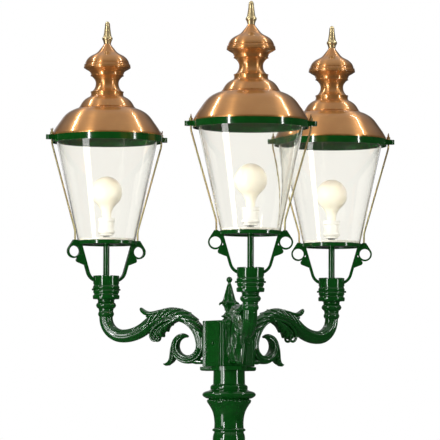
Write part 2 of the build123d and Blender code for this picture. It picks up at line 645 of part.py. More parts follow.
def hub_spire():
    """Spire on the hub: a stud, a cup, a skirt with leaf tips, a tall cone and a ball."""
    outline = [
        [(20, 0), (20, 4), (15, 8)],
        [(15, 8), (24, 14), (19, 17)],
        [(19, 17), (11, 28), (11, 40)],
        [(11, 40), (15, 48), (26, 53), (17, 56)],
        [(17, 56), (13, 76), (8, 96), (4.5, SPIRE_HEIGHT - 2 * SPIRE_BALL_RADIUS)],
        [(4.5, SPIRE_HEIGHT - 2 * SPIRE_BALL_RADIUS), (4.5, SPIRE_HEIGHT - SPIRE_BALL_RADIUS)],
        [(4.5, SPIRE_HEIGHT - SPIRE_BALL_RADIUS), (0.5, SPIRE_HEIGHT - SPIRE_BALL_RADIUS)],
    ]
    with BuildPart() as spire:
        add(turned(outline, SPIRE_Z, 0))
        with Locations((0, 0, SPIRE_Z + SPIRE_HEIGHT - SPIRE_BALL_RADIUS)):
            Sphere(SPIRE_BALL_RADIUS)
        with PolarLocations(SPIRE_LEAF_REACH, SPIRE_LEAVES):
            with Locations((0, 0, SPIRE_Z + SPIRE_LEAF_RISE)):
                Sphere(SPIRE_LEAF_RADIUS)
        with BuildSketch(Plane.XY.offset(SPIRE_Z)):
            Circle(SPIRE_STUD_RADIUS)
        extrude(amount=-HUB_ROOF)
    return spire.part


# ---------------------------------------------------------------- scroll arms
def arm_stations():
    """Sections along the arm: each is a place, a direction, a half width and a half depth.

    The middle line drops from the baluster, bends under it, rises to the crest on two arcs of
    opposite sense, runs over an elliptical shoulder and turns round the eye in a volute."""
    seat = HUB_Z + ARM_SEAT_RISE - ARM_NECK_HEIGHT
    belly = (ARM_REACH - ARM_BEND_RADIUS, HUB_Z + ARM_BELLY_RISE)
    crest = (CREST_REACH, HUB_Z + CREST_RISE)
    run, climb = belly[0] - crest[0], crest[1] - belly[1]
    lean = 2 * atan(climb / run)
    radii = run / sin(lean)
    rise_radius, crest_radius = radii * RISE_ARC_SHARE, radii * (1 - RISE_ARC_SHARE)
    bend_top = belly[1] + ARM_BEND_RADIUS
    with BuildLine(Plane.XZ):
        drop = Line((ARM_REACH, seat), (ARM_REACH, bend_top))
        bend = CenterArc((belly[0], bend_top), ARM_BEND_RADIUS, 0, -90)
        rise = CenterArc((belly[0], belly[1] + rise_radius), rise_radius, -90, -degrees(lean))
        brow = CenterArc((crest[0], crest[1] - crest_radius), crest_radius,
                         90 - degrees(lean), degrees(lean))
    full = ARM_TUBE_RADIUS
    stations = [(drop @ 0, drop % 0, full, full)]
    for edge, steps in ((drop, 1), (bend, 5), (rise, 3), (brow, 3)):
        for step in range(1, steps + 1):
            stations.append((edge @ (step / steps), edge % (step / steps), full, full))
    eye_x, eye_z = SCROLL_EYE_REACH, HUB_Z + SCROLL_EYE_RISE
    start_turn, start_radius, start_width, start_depth = VOLUTE[0]
    shoulder_run, shoulder_drop = crest[0] - eye_x + start_radius, crest[1] - eye_z
    for step in range(1, SHOULDER_STEPS + 1):
        share = step / SHOULDER_STEPS
        turn = radians(90 + 90 * share)
        place = Vector(crest[0] + shoulder_run * cos(turn), 0, eye_z + shoulder_drop * sin(turn))
        along = Vector(-shoulder_run * sin(turn), 0, shoulder_drop * cos(turn)).normalized()
        width = full + (start_width - full) * share
        stations.append((place, along, width, full + (start_depth - full) * share))
    for before, after in zip(VOLUTE, VOLUTE[1:]):
        shrink = (after[1] - before[1]) / radians(after[0] - before[0])
        for half in (0.5, 1):
            turn, radius, width, depth = [a + (b - a) * half for a, b in zip(before, after)]
            turn = radians(turn)
            place = Vector(eye_x + radius * cos(turn), 0, eye_z + radius * sin(turn))
            along = Vector(shrink * cos(turn) - radius * sin(turn), 0,
                           shrink * sin(turn) + radius * cos(turn)).normalized()
            stations.append((place, along, width, depth))
    return stations


def reeded_section(plane, half_width, half_depth):
    """A closed outline of shallow arcs round an ellipse, so that the arm is reeded lengthwise."""
    pitch = 2 * pi / REEDS

    def on_ellipse(turn, scale):
        return (half_width * scale * cos(turn), half_depth * scale * sin(turn))

    with BuildSketch(plane) as section:
        with BuildLine():
            for reed in range(REEDS):
                start, end = (reed - 0.5) * pitch, (reed + 0.5) * pitch
                ThreePointArc(on_ellipse(start, 1 - REED_SHARE), on_ellipse(reed * pitch, 1),
                              on_ellipse(end, 1 - REED_SHARE))
        make_face()
    return section.sketch


def leaf(stations):
    """A leaf blade: a loft of flat ovals along a bent line in the arm's plane."""
    with BuildPart() as blade:
        for index, (reach, rise, half_thickness, half_depth) in enumerate(stations):
            before = stations[max(index - 1, 0)]
            after = stations[min(index + 1, len(stations) - 1)]
            along = Vector(after[0] - before[0], 0, after[1] - before[1]).normalized()
            across = Vector(-along.Z, 0, along.X)
            with BuildSketch(Plane(origin=(reach, 0, HUB_Z + rise), x_dir=across, z_dir=along)):
                Ellipse(half_thickness, half_depth)
        loft()
    return blade.part


def scroll_arm():
    """Cast arm along +X: flange, reeded scroll, four acanthus leaves, baluster and spigot."""
    neck = HUB_Z + ARM_SEAT_RISE - ARM_NECK_HEIGHT
    curl = (CREST_REACH + CURL_REACH, HUB_Z + CREST_RISE - CURL_DROP)
    flange_middle = (0, HUB_Z + HUB_HEIGHT / 2)
    flange_face = Plane.YZ.offset(HUB_APOTHEM)
    sections = []
    for place, along, half_width, half_depth in arm_stations():
        across = Vector(-along.Z, 0, along.X)
        plane = Plane(origin=place, x_dir=across, z_dir=along)
        sections.append(reeded_section(plane, half_width, half_depth))
    with BuildPart() as arm:
        loft(sections)
        for stations in (BROW_LEAF, BELLY_LEAF, TAIL_LEAF, FOOT_LEAF):
            add(leaf(stations))
        for reach, drop, radius in LOBES:
            with Locations((CREST_REACH + reach, 0, HUB_Z + CREST_RISE - drop)):
                Sphere(radius)
        for radius, half_depth in ((CURL_RADIUS, CURL_HALF_DEPTH), (CURL_EYE_RADIUS, CURL_HALF_DEPTH + CURL_EYE_PROUD)):
            with BuildSketch(Plane.XZ):
                with Locations(curl):
                    Circle(radius)
            extrude(amount=half_depth, both=True)
        with BuildSketch(flange_face):
            with Locations(flange_middle):
                Rectangle(FLANGE_WIDTH, HUB_HEIGHT)
        extrude(amount=FLANGE_THICKNESS)
        with BuildSketch(flange_face):
            with Locations((0, HUB_Z + sum(WEB_LEVELS) / 2)):
                Rectangle(2 * WEB_HALF_DEPTH, WEB_LEVELS[1] - WEB_LEVELS[0])
        extrude(amount=WEB_REACH - HUB_APOTHEM)
        with Locations((ARM_REACH, 0, 0)):
            add(turned(BALUSTER_OUTLINE, neck, 0))
        with BuildSketch(Plane.XY.offset(HUB_Z + ARM_SEAT_RISE)):
            with Locations((ARM_REACH, 0)):
                Circle(SPIGOT_TUBE_RADIUS)
        extrude(amount=SPIGOT_TUBE_HEIGHT)
        with BuildSketch(flange_face):
            with Locations(flange_middle):
                with GridLocations(1, ARM_BOLT_SPACING, 1, 2):
                    Circle(ARM_BOLT_RADIUS + THREAD_GAP)
        extrude(amount=ARM_BOLT_DEPTH + THREAD_GAP, mode=Mode.SUBTRACT)
    return arm.part


def arm_bolts():
    """Hexagon bolts from inside the hub into the arm flanges."""
    with BuildPart() as bolts:
        for place in arm_bolt_places():
            seat = Plane(place)
            with BuildSketch(seat):
                Circle(ARM_BOLT_RADIUS)
            extrude(amount=HUB_WALL + ARM_BOLT_DEPTH)
            with BuildSketch(seat):
                RegularPolygon(ARM_BOLT_HEAD_RADIUS, 6)
            extrude(amount=-ARM_BOLT_HEAD_HEIGHT)
    return bolts.part


# ---------------------------------------------------------------- lantern cage
def lantern_socket():
    """Socket that slips over the arm's spigot: flange, two beads and the collar's boss."""
    with BuildPart() as socket:
        add(turned(SOCKET_OUTLINE, 0, 0))
        with BuildSketch(Plane.XY.offset(SOCKET_HEIGHT)):
            Circle(SOCKET_BOSS_RADIUS)
        extrude(amount=SOCKET_BOSS_HEIGHT)
        with BuildSketch():
            Circle(SPIGOT_TUBE_RADIUS + FIT_GAP)
        extrude(amount=SPIGOT_TUBE_HEIGHT + FIT_GAP, mode=Mode.SUBTRACT)
        with BuildSketch(Plane.XY.offset(STEM_Z)):
            Circle(STEM_RADIUS + THREAD_GAP)
        extrude(amount=STEM_SEAT_DEPTH, mode=Mode.SUBTRACT)
        with BuildSketch(Plane.YZ):
            with Locations((0, SET_SCREW_RISE)):
                Circle(SET_SCREW_RADIUS + THREAD_GAP)
        extrude(amount=SOCKET_BEAD_RADIUS, both=True, mode=Mode.SUBTRACT)
    return socket.part


def set_screws():
    """The two grub screws that lock a socket on its spigot, ends standing proud."""
    reach = SPIGOT_TUBE_RADIUS + THREAD_GAP
    with BuildPart() as screws:
        for side in (1, -1):
            with BuildSketch(Plane.YZ.offset(side * reach)):
                with Locations((0, SET_SCREW_RISE)):
                    Circle(SET_SCREW_RADIUS)
            extrude(amount=side * (SOCKET_BEAD_RADIUS + SET_SCREW_PROUD - reach))
    return screws.part


def cage_frame():
    """Cage frame: collar, two bent legs, two eared rings and the lower ring with its ledge."""
    ring_outline = [
        (RING_LEDGE_RADIUS, RING_Z), (RING_RADIUS - RING_EDGE, RING_Z),
        (RING_RADIUS, RING_Z + RING_EDGE), (RING_RADIUS, CAGE_RISE - RING_EDGE),
        (RING_RADIUS - RING_EDGE, CAGE_RISE), (RING_BORE_RADIUS, CAGE_RISE),
        (RING_BORE_RADIUS, PLATE_Z), (RING_LEDGE_RADIUS, PLATE_Z)]
    knee = (LEG_KNEE_REACH, LEG_KNEE_RISE)
    with BuildPart() as cage:
        with BuildSketch(Plane.XZ):
            with BuildLine():
                Polyline(*ring_outline, close=True)
            make_face()
        revolve(axis=Axis.Z)
        with BuildSketch(Plane.XY.offset(SOCKET_HEIGHT)):
            Circle(COLLAR_RADIUS)
        extrude(amount=COLLAR_HEIGHT)
        with BuildSketch(Plane.XZ):
            with BuildLine():
                shank = Line((LEG_TOP_REACH, RING_Z + LEG_SINK), knee)
                TangentArc(knee, (COLLAR_RADIUS - LEG_SINK, LEG_FOOT_RISE), tangent=shank % 1)
            trace(line_width=LEG_THICKNESS)
        leg = extrude(amount=LEG_WIDTH / 2, both=True)
        with BuildSketch(Plane.XZ):
            with BuildLine():
                CenterArc((SPUR_REACH, SPUR_RISE), SPUR_RADIUS, 0, 360)
                Polyline(*SPUR_ROOT)
            make_hull()
        spur = extrude(amount=LEG_WIDTH / 2, both=True)
        with BuildSketch(Plane.XZ):
            with BuildLine():
                CenterArc((EAR_REACH, EAR_RISE), EAR_HOLE_RADIUS + EAR_WALL, 0, 360)
                Polyline((LEG_TOP_REACH, RING_Z + LEG_SINK),
                         (EAR_PAD_INNER, ROD_PAD_Z), (EAR_PAD_OUTER, ROD_PAD_Z))
            make_hull()
            with Locations((EAR_REACH, EAR_RISE)):
                Circle(EAR_HOLE_RADIUS, mode=Mode.SUBTRACT)
        ear = extrude(amount=LEG_WIDTH / 2, both=True)
        mirror(leg, about=Plane.YZ)
        mirror(spur, about=Plane.YZ)
        mirror(ear, about=Plane.YZ)
        with BuildSketch(Plane.XY.offset(PLATE_Z)):
            Circle(RING_BORE_RADIUS)
        extrude(amount=RING_HEIGHT, mode=Mode.SUBTRACT)
        with BuildSketch(Plane.XY.offset(SOCKET_HEIGHT)):
            Circle(SOCKET_BOSS_RADIUS + FIT_GAP)
        extrude(amount=COLLAR_HEIGHT, mode=Mode.SUBTRACT)
        with BuildSketch(Plane.XY.offset(ROD_PAD_Z)):
            with Locations((ROD_FOOT_REACH, 0), (-ROD_FOOT_REACH, 0)):
                Circle(ROD_RADIUS + THREAD_GAP)
        extrude(amount=-ROD_SINK - FIT_GAP, mode=Mode.SUBTRACT)
    return cage.part


def tie_rods():
    """Two cranked rods from the ears up through the hood ring's lugs."""
    path = [(ROD_FOOT_REACH, ROD_PAD_Z - ROD_SINK), (ROD_FOOT_REACH, ROD_PAD_Z + ROD_FOOT_STRAIGHT),
            (ROD_TOP_REACH, LUG_Z - ROD_TOP_STRAIGHT), (ROD_TOP_REACH, HOOD_Z + ROD_PROUD)]
    with BuildPart() as rods:
        with BuildLine(Plane.XZ):
            FilletPolyline(*path, radius=ROD_BEND_RADIUS)
        with BuildSketch(Plane.XY.offset(ROD_PAD_Z - ROD_SINK)):
            with Locations((ROD_FOOT_REACH, 0)):
                Circle(ROD_RADIUS)
        rod = sweep()
        mirror(rod, about=Plane.YZ)
    return rods.part


# ---------------------------------------------------------------- lamp
def base_plate():
    """Round plate on the ledge of the lower ring, clear of the gasket round it."""
    with BuildPart() as plate:
        with BuildSketch(Plane.XY.offset(PLATE_Z)):
            Circle(GASKET_INNER_RADIUS - FIT_GAP)
            Circle(NIPPLE_RADIUS + FIT_GAP, mode=Mode.SUBTRACT)
        extrude(amount=PLATE_THICKNESS)
    return plate.part


def lamp_stem():
    """Bored tube from the socket to the base plate with the nipple that carries the holder."""
    with BuildPart() as stem:
        for foot, top, radius in ((STEM_Z, PLATE_Z, STEM_RADIUS), (PLATE_Z, NIPPLE_TOP, NIPPLE_RADIUS)):
            with BuildSketch(Plane.XY.offset(foot)):
                Circle(radius)
                Circle(STEM_BORE_RADIUS, mode=Mode.SUBTRACT)
            extrude(amount=top - foot)
    return stem.part


def stem_nuts():
    """Nut that clamps the base plate and jam nut under the lamp holder."""
    with BuildPart() as nuts:
        for foot in (PLATE_TOP, HOLDER_Z - NUT_HEIGHT):
            with BuildSketch(Plane.XY.offset(foot)):
                RegularPolygon(NUT_RADIUS, 6)
                Circle(NIPPLE_RADIUS + THREAD_GAP, mode=Mode.SUBTRACT)
            extrude(amount=NUT_HEIGHT)
    return nuts.part


def lamp_holder():
    """Ceramic holder with the threaded well for the lamp and a seat for the nipple."""
    with BuildPart() as holder:
        add(turned(HOLDER_OUTLINE, HOLDER_Z, 0))
        with BuildSketch(Plane.XY.offset(HOLDER_TOP)):
            Circle(LAMP_CAP_RADIUS + FIT_GAP)
        extrude(amount=-HOLDER_BORE_DEPTH, mode=Mode.SUBTRACT)
        with BuildSketch(Plane.XY.offset(HOLDER_Z)):
            Circle(NIPPLE_RADIUS + THREAD_GAP)
        extrude(amount=NIPPLE_TOP - HOLDER_Z + FIT_GAP, mode=Mode.SUBTRACT)
    return holder.part


def lamp_cap():
    """Screw cap of the lamp with its contact tip."""
    with BuildPart() as cap:
        for foot, height, radius in ((LAMP_Z, LAMP_TIP_HEIGHT, LAMP_TIP_RADIUS),
                                     (LAMP_Z + LAMP_TIP_HEIGHT, LAMP_CAP_HEIGHT, LAMP_CAP_RADIUS)):
            with BuildSketch(Plane.XY.offset(foot)):
                Circle(radius)
            extrude(amount=height)
    return cap.part


def lamp_globe():
    """Thin glass globe drawn down to a neck that stands on the lamp cap."""
    turn = radians(GLOBE_NECK_TURN)
    with BuildPart() as globe:
        for wall, mode in ((0, Mode.ADD), (GLOBE_WALL, Mode.SUBTRACT)):
            radius, neck = GLOBE_RADIUS - wall, LAMP_CAP_RADIUS - wall
            throat = (neck, LAMP_CAP_TOP + GLOBE_NECK_HEIGHT)
            meet = (radius * sin(turn), GLOBE_Z - radius * cos(turn))
            with BuildSketch(Plane.XZ):
                with BuildLine():
                    Polyline((0, GLOBE_Z + radius), (0, LAMP_CAP_TOP), (neck, LAMP_CAP_TOP), throat)
                    Spline(throat, meet, tangents=[(0, 1), (cos(turn), sin(turn))])
                    ThreePointArc(meet, (radius, GLOBE_Z), (0, GLOBE_Z + radius))
                make_face()
            revolve(axis=Axis.Z, mode=mode)
    return globe.part


# ---------------------------------------------------------------- glass
def cone_radius(height):
    """Outer radius of the glass at a height above its foot."""
    return GLASS_FOOT_RADIUS + GLASS_FLARE * height


def lantern_glass():
    """Flared glass shade, open at both ends."""
    outer_foot, outer_top = (GLASS_FOOT_RADIUS, GLASS_Z), (GLASS_TOP_RADIUS, GLASS_TOP)
    inner_top, inner_foot = [(radius - GLASS_WALL, height) for radius, height in (outer_top, outer_foot)]
    with BuildPart() as glass:
        with BuildSketch(Plane.XZ):
            with BuildLine():
                Polyline(outer_foot, outer_top, inner_top, inner_foot, close=True)
            make_face()
        revolve(axis=Axis.Z)
    return glass.part


def glass_gaskets():
    """Two channel gaskets: one under the foot of the glass, one over its top edge."""
    reach_in = GLASS_WALL + FIT_GAP
    rim_drop = GLASS_HEIGHT - GASKET_HEIGHT
    foot_outline = [
        (GASKET_INNER_RADIUS, PLATE_Z), (RING_BORE_RADIUS - FIT_GAP, PLATE_Z),
        (RING_BORE_RADIUS - FIT_GAP, CAGE_RISE),
        (cone_radius(CAGE_RISE - GLASS_Z) + FIT_GAP, CAGE_RISE),
        (cone_radius(0) + FIT_GAP, GLASS_Z), (cone_radius(0) - reach_in, GLASS_Z),
        (cone_radius(GASKET_HEIGHT) - reach_in, GLASS_Z + GASKET_HEIGHT),
        (GASKET_INNER_RADIUS, GLASS_Z + GASKET_HEIGHT)]
    crown_outer = GLASS_TOP_RADIUS + FIT_GAP + GASKET_WALL
    crown_inner = cone_radius(rim_drop) - reach_in - GASKET_WALL
    crown_outline = [
        (crown_outer, GLASS_TOP + GASKET_WALL), (crown_outer, GLASS_Z + rim_drop),
        (cone_radius(rim_drop) + FIT_GAP, GLASS_Z + rim_drop),
        (GLASS_TOP_RADIUS + FIT_GAP, GLASS_TOP), (GLASS_TOP_RADIUS - reach_in, GLASS_TOP),
        (cone_radius(rim_drop) - reach_in, GLASS_Z + rim_drop),
        (crown_inner, GLASS_Z + rim_drop), (crown_inner, GLASS_TOP + GASKET_WALL)]
    with BuildPart() as gaskets:
        for outline in (foot_outline, crown_outline):
            with BuildSketch(Plane.XZ):
                with BuildLine():
                    Polyline(*outline, close=True)
                make_face()
            revolve(axis=Axis.Z)
    return gaskets.part


# ---------------------------------------------------------------- hood
def hood_ring():
    """Cast ring under the hood: skirt, land over the glass, locating collar and two lugs."""
    skirt_inner = HOOD_RING_RADIUS - HOOD_RING_WALL
    collar_top = HOOD_Z + HOOD_COLLAR_HEIGHT
    outline = [
        (skirt_inner, RING_FOOT_Z), (HOOD_RING_RADIUS, RING_FOOT_Z), (HOOD_RING_RADIUS, HOOD_Z),
        (HOOD_COLLAR_RADIUS, HOOD_Z), (HOOD_COLLAR_RADIUS, collar_top),
        (HOOD_COLLAR_RADIUS - HOOD_RING_WALL, collar_top), (HOOD_COLLAR_RADIUS - HOOD_RING_WALL, HOOD_Z),
        (HOOD_RING_LAND, HOOD_Z), (HOOD_RING_LAND, LAND_Z), (skirt_inner, LAND_Z)]
    lug_end = LUG_END_REACH - LUG_WIDTH / 2
    lug_root = HOOD_RING_RADIUS - HOOD_RING_WALL / 2
    with BuildPart() as ring:
        with BuildSketch(Plane.XZ):
            with BuildLine():
                Polyline(*outline, close=True)
            make_face()
        revolve(axis=Axis.Z)
        with BuildSketch(Plane.XY.offset(LUG_Z)):
            for side in (1, -1):
                with Locations((side * (lug_root + lug_end) / 2, 0)):
                    Rectangle(lug_end - lug_root, LUG_WIDTH)
                with Locations((side * lug_end, 0)):
                    Circle(LUG_WIDTH / 2)
        extrude(amount=LUG_THICKNESS)
        with Locations((ROD_TOP_REACH, 0, LUG_Z), (-ROD_TOP_REACH, 0, LUG_Z)):
            Cylinder(ROD_RADIUS + LUG_HOLE_GAP, LUG_THICKNESS * 3, mode=Mode.SUBTRACT)
    return ring.part


def wing_nut(side):
    """Wing nut on a tie rod: a bored hub and two raised wings that clear the hood as it turns."""
    seat = HOOD_Z + WING_LIFT
    reach = side * ROD_TOP_REACH
    with BuildPart() as nut:
        with BuildSketch(Plane.XY.offset(seat)):
            with Locations((reach, 0)):
                Circle(WING_HUB_RADIUS)
        extrude(amount=WING_HUB_HEIGHT, taper=WING_HUB_TAPER)
        for way in (1, -1):
            with BuildSketch(Plane.YZ.offset(reach)):
                with BuildLine():
                    CenterArc((way * WING_TIP_REACH, seat + WING_TIP_RISE), WING_TIP_RADIUS, 0, 360)
                    Line((0, seat + WING_FOOT_RISE), (0, seat + WING_HUB_HEIGHT))
                make_hull()
            extrude(amount=WING_THICKNESS / 2, both=True)
        with Locations((reach, 0, seat)):
            Cylinder(ROD_RADIUS + THREAD_GAP, WING_HUB_HEIGHT * 4, mode=Mode.SUBTRACT)
    return nut.part


if __name__ == "__main__":
    os.makedirs("parts", exist_ok=True)
    write(post_foot(), "post_foot")
    write(foot_cap(), "foot_cap")
    write(post_shaft(), "post_shaft")
    write(post_capital(), "post_capital")
    write(ledge_plate(), "ledge_plate")
    write(hub_box(), "hub_box")
    write(hub_covers(), "hub_covers")
    write(cover_screws(), "cover_screws")
    write(hub_spire(), "hub_spire")
    arm = scroll_arm()
    for arm_name, azimuth in ARM_AZIMUTHS.items():
        write(arm.rotate(Axis.Z, azimuth), f"arm_{arm_name}")
    write(arm_bolts(), "arm_bolts")
    write_as_group(set_screws(), "set_screws")
    write_as_group(glass_gaskets(), "glass_gaskets")
    write_as_group(lamp_stem(), "lamp_stems")
    write_as_group(base_plate(), "base_plates")
    write_as_group(stem_nuts(), "stem_nuts")
    write_per_lantern(lantern_socket(), "socket")
    write_per_lantern(cage_frame(), "cage_frame")
    write_per_lantern(lantern_glass(), "glass")
    write_per_lantern(tie_rods(), "tie_rods")
    write_per_lantern(lamp_holder(), "lamp_holder")
    write_per_lantern(lamp_cap(), "lamp_cap")
    write_per_lantern(lamp_globe(), "lamp_globe")
    write_per_lantern(wing_nut(1), "wing_nut_a")
    write_per_lantern(wing_nut(-1), "wing_nut_b")
    write_per_lantern(hood_ring(), "hood_ring")
    write_per_lantern(spun_sheet(HOOD_OUTLINE, HOOD_Z), "hood")
    write_per_lantern(spun_sheet(CHIMNEY_OUTLINE, CHIMNEY_Z), "chimney")
    write_per_lantern(spun_sheet(CAP_OUTLINE, CAP_Z), "hood_cap")
    write_per_lantern(turned(FINIAL_OUTLINE, FINIAL_Z, 0), "finial")
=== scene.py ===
"""Looks of the triple head lamp post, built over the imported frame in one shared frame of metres.

The post, hub, scroll arms and round lanterns are classes that model their own pieces and dress them,
and the studio is a class that sets the floor, the light and the camera.
"""

import json
import logging
import math
from collections.abc import Callable, Iterable, Sequence
from dataclasses import astuple, dataclass, field, replace
from enum import Enum

import bmesh
import bpy
from mathutils import Matrix, Vector

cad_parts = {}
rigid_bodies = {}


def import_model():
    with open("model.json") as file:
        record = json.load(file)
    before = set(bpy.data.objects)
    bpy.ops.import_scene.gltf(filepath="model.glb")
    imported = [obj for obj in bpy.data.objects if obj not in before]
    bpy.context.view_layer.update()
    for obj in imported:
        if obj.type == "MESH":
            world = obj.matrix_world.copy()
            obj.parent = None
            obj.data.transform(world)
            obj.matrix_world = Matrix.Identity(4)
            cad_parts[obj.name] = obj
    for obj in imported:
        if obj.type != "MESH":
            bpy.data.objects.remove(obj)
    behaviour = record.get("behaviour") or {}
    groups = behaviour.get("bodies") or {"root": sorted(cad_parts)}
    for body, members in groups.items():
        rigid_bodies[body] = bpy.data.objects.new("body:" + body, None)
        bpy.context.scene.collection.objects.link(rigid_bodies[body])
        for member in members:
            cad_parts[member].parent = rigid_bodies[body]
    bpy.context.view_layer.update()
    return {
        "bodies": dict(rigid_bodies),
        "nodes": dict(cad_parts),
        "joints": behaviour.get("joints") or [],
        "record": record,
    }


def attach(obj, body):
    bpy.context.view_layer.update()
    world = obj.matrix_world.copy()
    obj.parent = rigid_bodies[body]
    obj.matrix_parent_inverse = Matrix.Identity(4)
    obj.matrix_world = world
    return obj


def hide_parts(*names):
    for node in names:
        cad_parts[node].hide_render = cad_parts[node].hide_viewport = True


LOG = logging.getLogger("lamp_post")
MM = 0.001
# nearly all values of a noise lie between these two
NOISE_SPAN = (0.3, 0.7)
# points of a raised line in millimetres, each with the line's radius there
Ridge = list[tuple[Vector, float]]


class Side(Enum):
    """The three arms, each with its lantern; the value is the arm's azimuth in degrees."""

    FRONT = -90.0
    RIGHT = 30.0
    LEFT = 150.0

    @property
    def tag(self) -> str:
        """Ending of the names of this arm's nodes."""
        return self.name.lower()

    def out(self, reach: float) -> tuple[float, float]:
        """X and Y of the point that is so far out along this arm."""
        azimuth = math.radians(self.value)
        return reach * math.cos(azimuth), reach * math.sin(azimuth)


# ------------------------------------------------------------------ shader effects shared by finishes
def feed(node: bpy.types.Node, inputs: dict[str | int, object]) -> None:
    """Give a node's inputs what they read: an output socket is linked, a number or a colour is set.

    Args:
        node: Node whose inputs are given.
        inputs: What each input reads, by its name or number.
    """
    for label, value in inputs.items():
        if isinstance(value, bpy.types.NodeSocket):
            node.id_data.links.new(value, node.inputs[label])
        else:
            node.inputs[label].default_value = value


def add_node(tree: bpy.types.NodeTree, kind: str, inputs: dict[str | int, object] | None = None,
             **settings: object) -> bpy.types.Node:
    """Add a node, set its plain attributes and feed its inputs.

    Args:
        tree: Node tree that gets the node.
        kind: Blender's class name of the node.
        inputs: What its inputs read.
        **settings: Attributes to set on it.

    Returns:
        The new node.
    """
    node = tree.nodes.new(kind)
    for label, value in settings.items():
        setattr(node, label, value)
    feed(node, inputs or {})
    return node


def noise(tree: bpy.types.NodeTree, source: object, scale: object, detail: float = 4.0,
          roughness: float = 0.55) -> object:
    """The factor socket of noise over a vector, at a scale per metre or a socket's."""
    inputs = {"Vector": source, "Scale": scale, "Detail": detail, "Roughness": roughness}
    return add_node(tree, "ShaderNodeTexNoise", inputs).outputs["Fac"]


def math_node(tree: bpy.types.NodeTree, operation: str, left: object, right: object = 0.0) -> object:
    """The result's socket of a maths node between sockets or numbers."""
    return add_node(tree, "ShaderNodeMath", {0: left, 1: right}, operation=operation).outputs[0]


def spread(tree: bpy.types.NodeTree, value: object, low: float, high: float, to_low: float,
           to_high: float) -> object:
    """A value's socket after it is mapped from low..high to to_low..to_high and held inside it."""
    inputs = {"Value": value, "From Min": low, "From Max": high, "To Min": to_low, "To Max": to_high}
    return add_node(tree, "ShaderNodeMapRange", inputs).outputs["Result"]


def blended(tree: bpy.types.NodeTree, factor: object, first: object, second: object) -> object:
    """The socket of two colours, RGBA tuples or sockets, mixed by a factor."""
    return add_node(tree, "ShaderNodeMix", {0: factor, 6: first, 7: second}, data_type="RGBA").outputs[2]


def opaque(colour: Iterable[float]) -> tuple[float, ...]:
    """A colour as an RGBA tuple with full alpha, no part of it above 1."""
    return (*(min(1.0, part) for part in colour), 1.0)


def new_group(name: str, inputs: dict[str, float], outputs: Iterable[str]) -> bpy.types.NodeTree:
    """Start a shader node group that reads a place and some numbers and gives numbers.

    Args:
        name: Name of the group.
        inputs: Names of its number inputs with their default values.
        outputs: Names of its outputs.

    Returns:
        The node group, with its input and output nodes placed.
    """
    tree = bpy.data.node_groups.new(name, "ShaderNodeTree")
    tree.interface.new_socket("Place", in_out="INPUT", socket_type="NodeSocketVector")
    for label, value in inputs.items():
        socket = tree.interface.new_socket(label, in_out="INPUT", socket_type="NodeSocketFloat")
        socket.default_value = value
    for label in outputs:
        tree.interface.new_socket(label, in_out="OUTPUT", socket_type="NodeSocketFloat")
    tree.nodes.new("NodeGroupInput").name = "in"
    tree.nodes.new("NodeGroupOutput").name = "out"
    return tree


def brushed_rings() -> bpy.types.NodeTree:
    """Fine rings that a cloth or tool leaves on a spun sheet, from the distance to the axis and the height.

    Returns:
        A group with the outputs Lines, the fine rings, and Cloud, a slow tarnish.
    """
    tree = new_group("brushed rings", {"Line Scale": 900.0, "Cloud Scale": 14.0}, ("Lines", "Cloud"))
    source = tree.nodes["in"].outputs
    split = add_node(tree, "ShaderNodeSeparateXYZ", {0: source["Place"]}).outputs
    squares = [math_node(tree, "MULTIPLY", split[index], split[index]) for index in (0, 1)]
    turn = math_node(tree, "ARCTAN2", split[1], split[0])
    lay = add_node(tree, "ShaderNodeCombineXYZ", {
        0: math_node(tree, "SQRT", math_node(tree, "ADD", *squares)),
        1: math_node(tree, "MULTIPLY", turn, 0.004),
        2: split[2]})
    feed(tree.nodes["out"], {
        "Lines": noise(tree, lay.outputs[0], source["Line Scale"], 3.0, 0.5),
        "Cloud": noise(tree, source["Place"], source["Cloud Scale"], 3.0, 0.5)})
    return tree


def cast_skin() -> bpy.types.NodeTree:
    """The slow waves and fine orange peel of thick gloss paint over a casting.

    Returns:
        A group with the outputs Peel, for a bump, and Cloud, for colour and roughness.
    """
    scales = {"Peel Scale": 420.0, "Wave Scale": 45.0, "Peel Share": 0.12}
    tree = new_group("cast skin", scales, ("Peel", "Cloud"))
    source = tree.nodes["in"].outputs
    fine = noise(tree, source["Place"], source["Peel Scale"], 2.0, 0.5)
    waves = noise(tree, source["Place"], source["Wave Scale"], 3.0, 0.5)
    peel = math_node(tree, "MULTIPLY", fine, source["Peel Share"])
    feed(tree.nodes["out"], {"Peel": math_node(tree, "ADD", peel, waves), "Cloud": waves})
    return tree


class Effects:
    """The shader groups that finishes share, each made once."""

    _made: dict[Callable[[], bpy.types.NodeTree], bpy.types.NodeTree] = {}

    @classmethod
    def get(cls, tree: bpy.types.NodeTree, maker: Callable[[], bpy.types.NodeTree],
            place: object) -> bpy.types.bpy_prop_collection:
        """Add a shared group to a material; the group is made on its first use.

        Args:
            tree: Node tree of the material.
            maker: Function that makes the group.
            place: Socket of the place that the group reads.

        Returns:
            The outputs of the group's node.
        """
        if maker not in cls._made:
            cls._made[maker] = maker()
        return add_node(tree, "ShaderNodeGroup", {"Place": place}, node_tree=cls._made[maker]).outputs


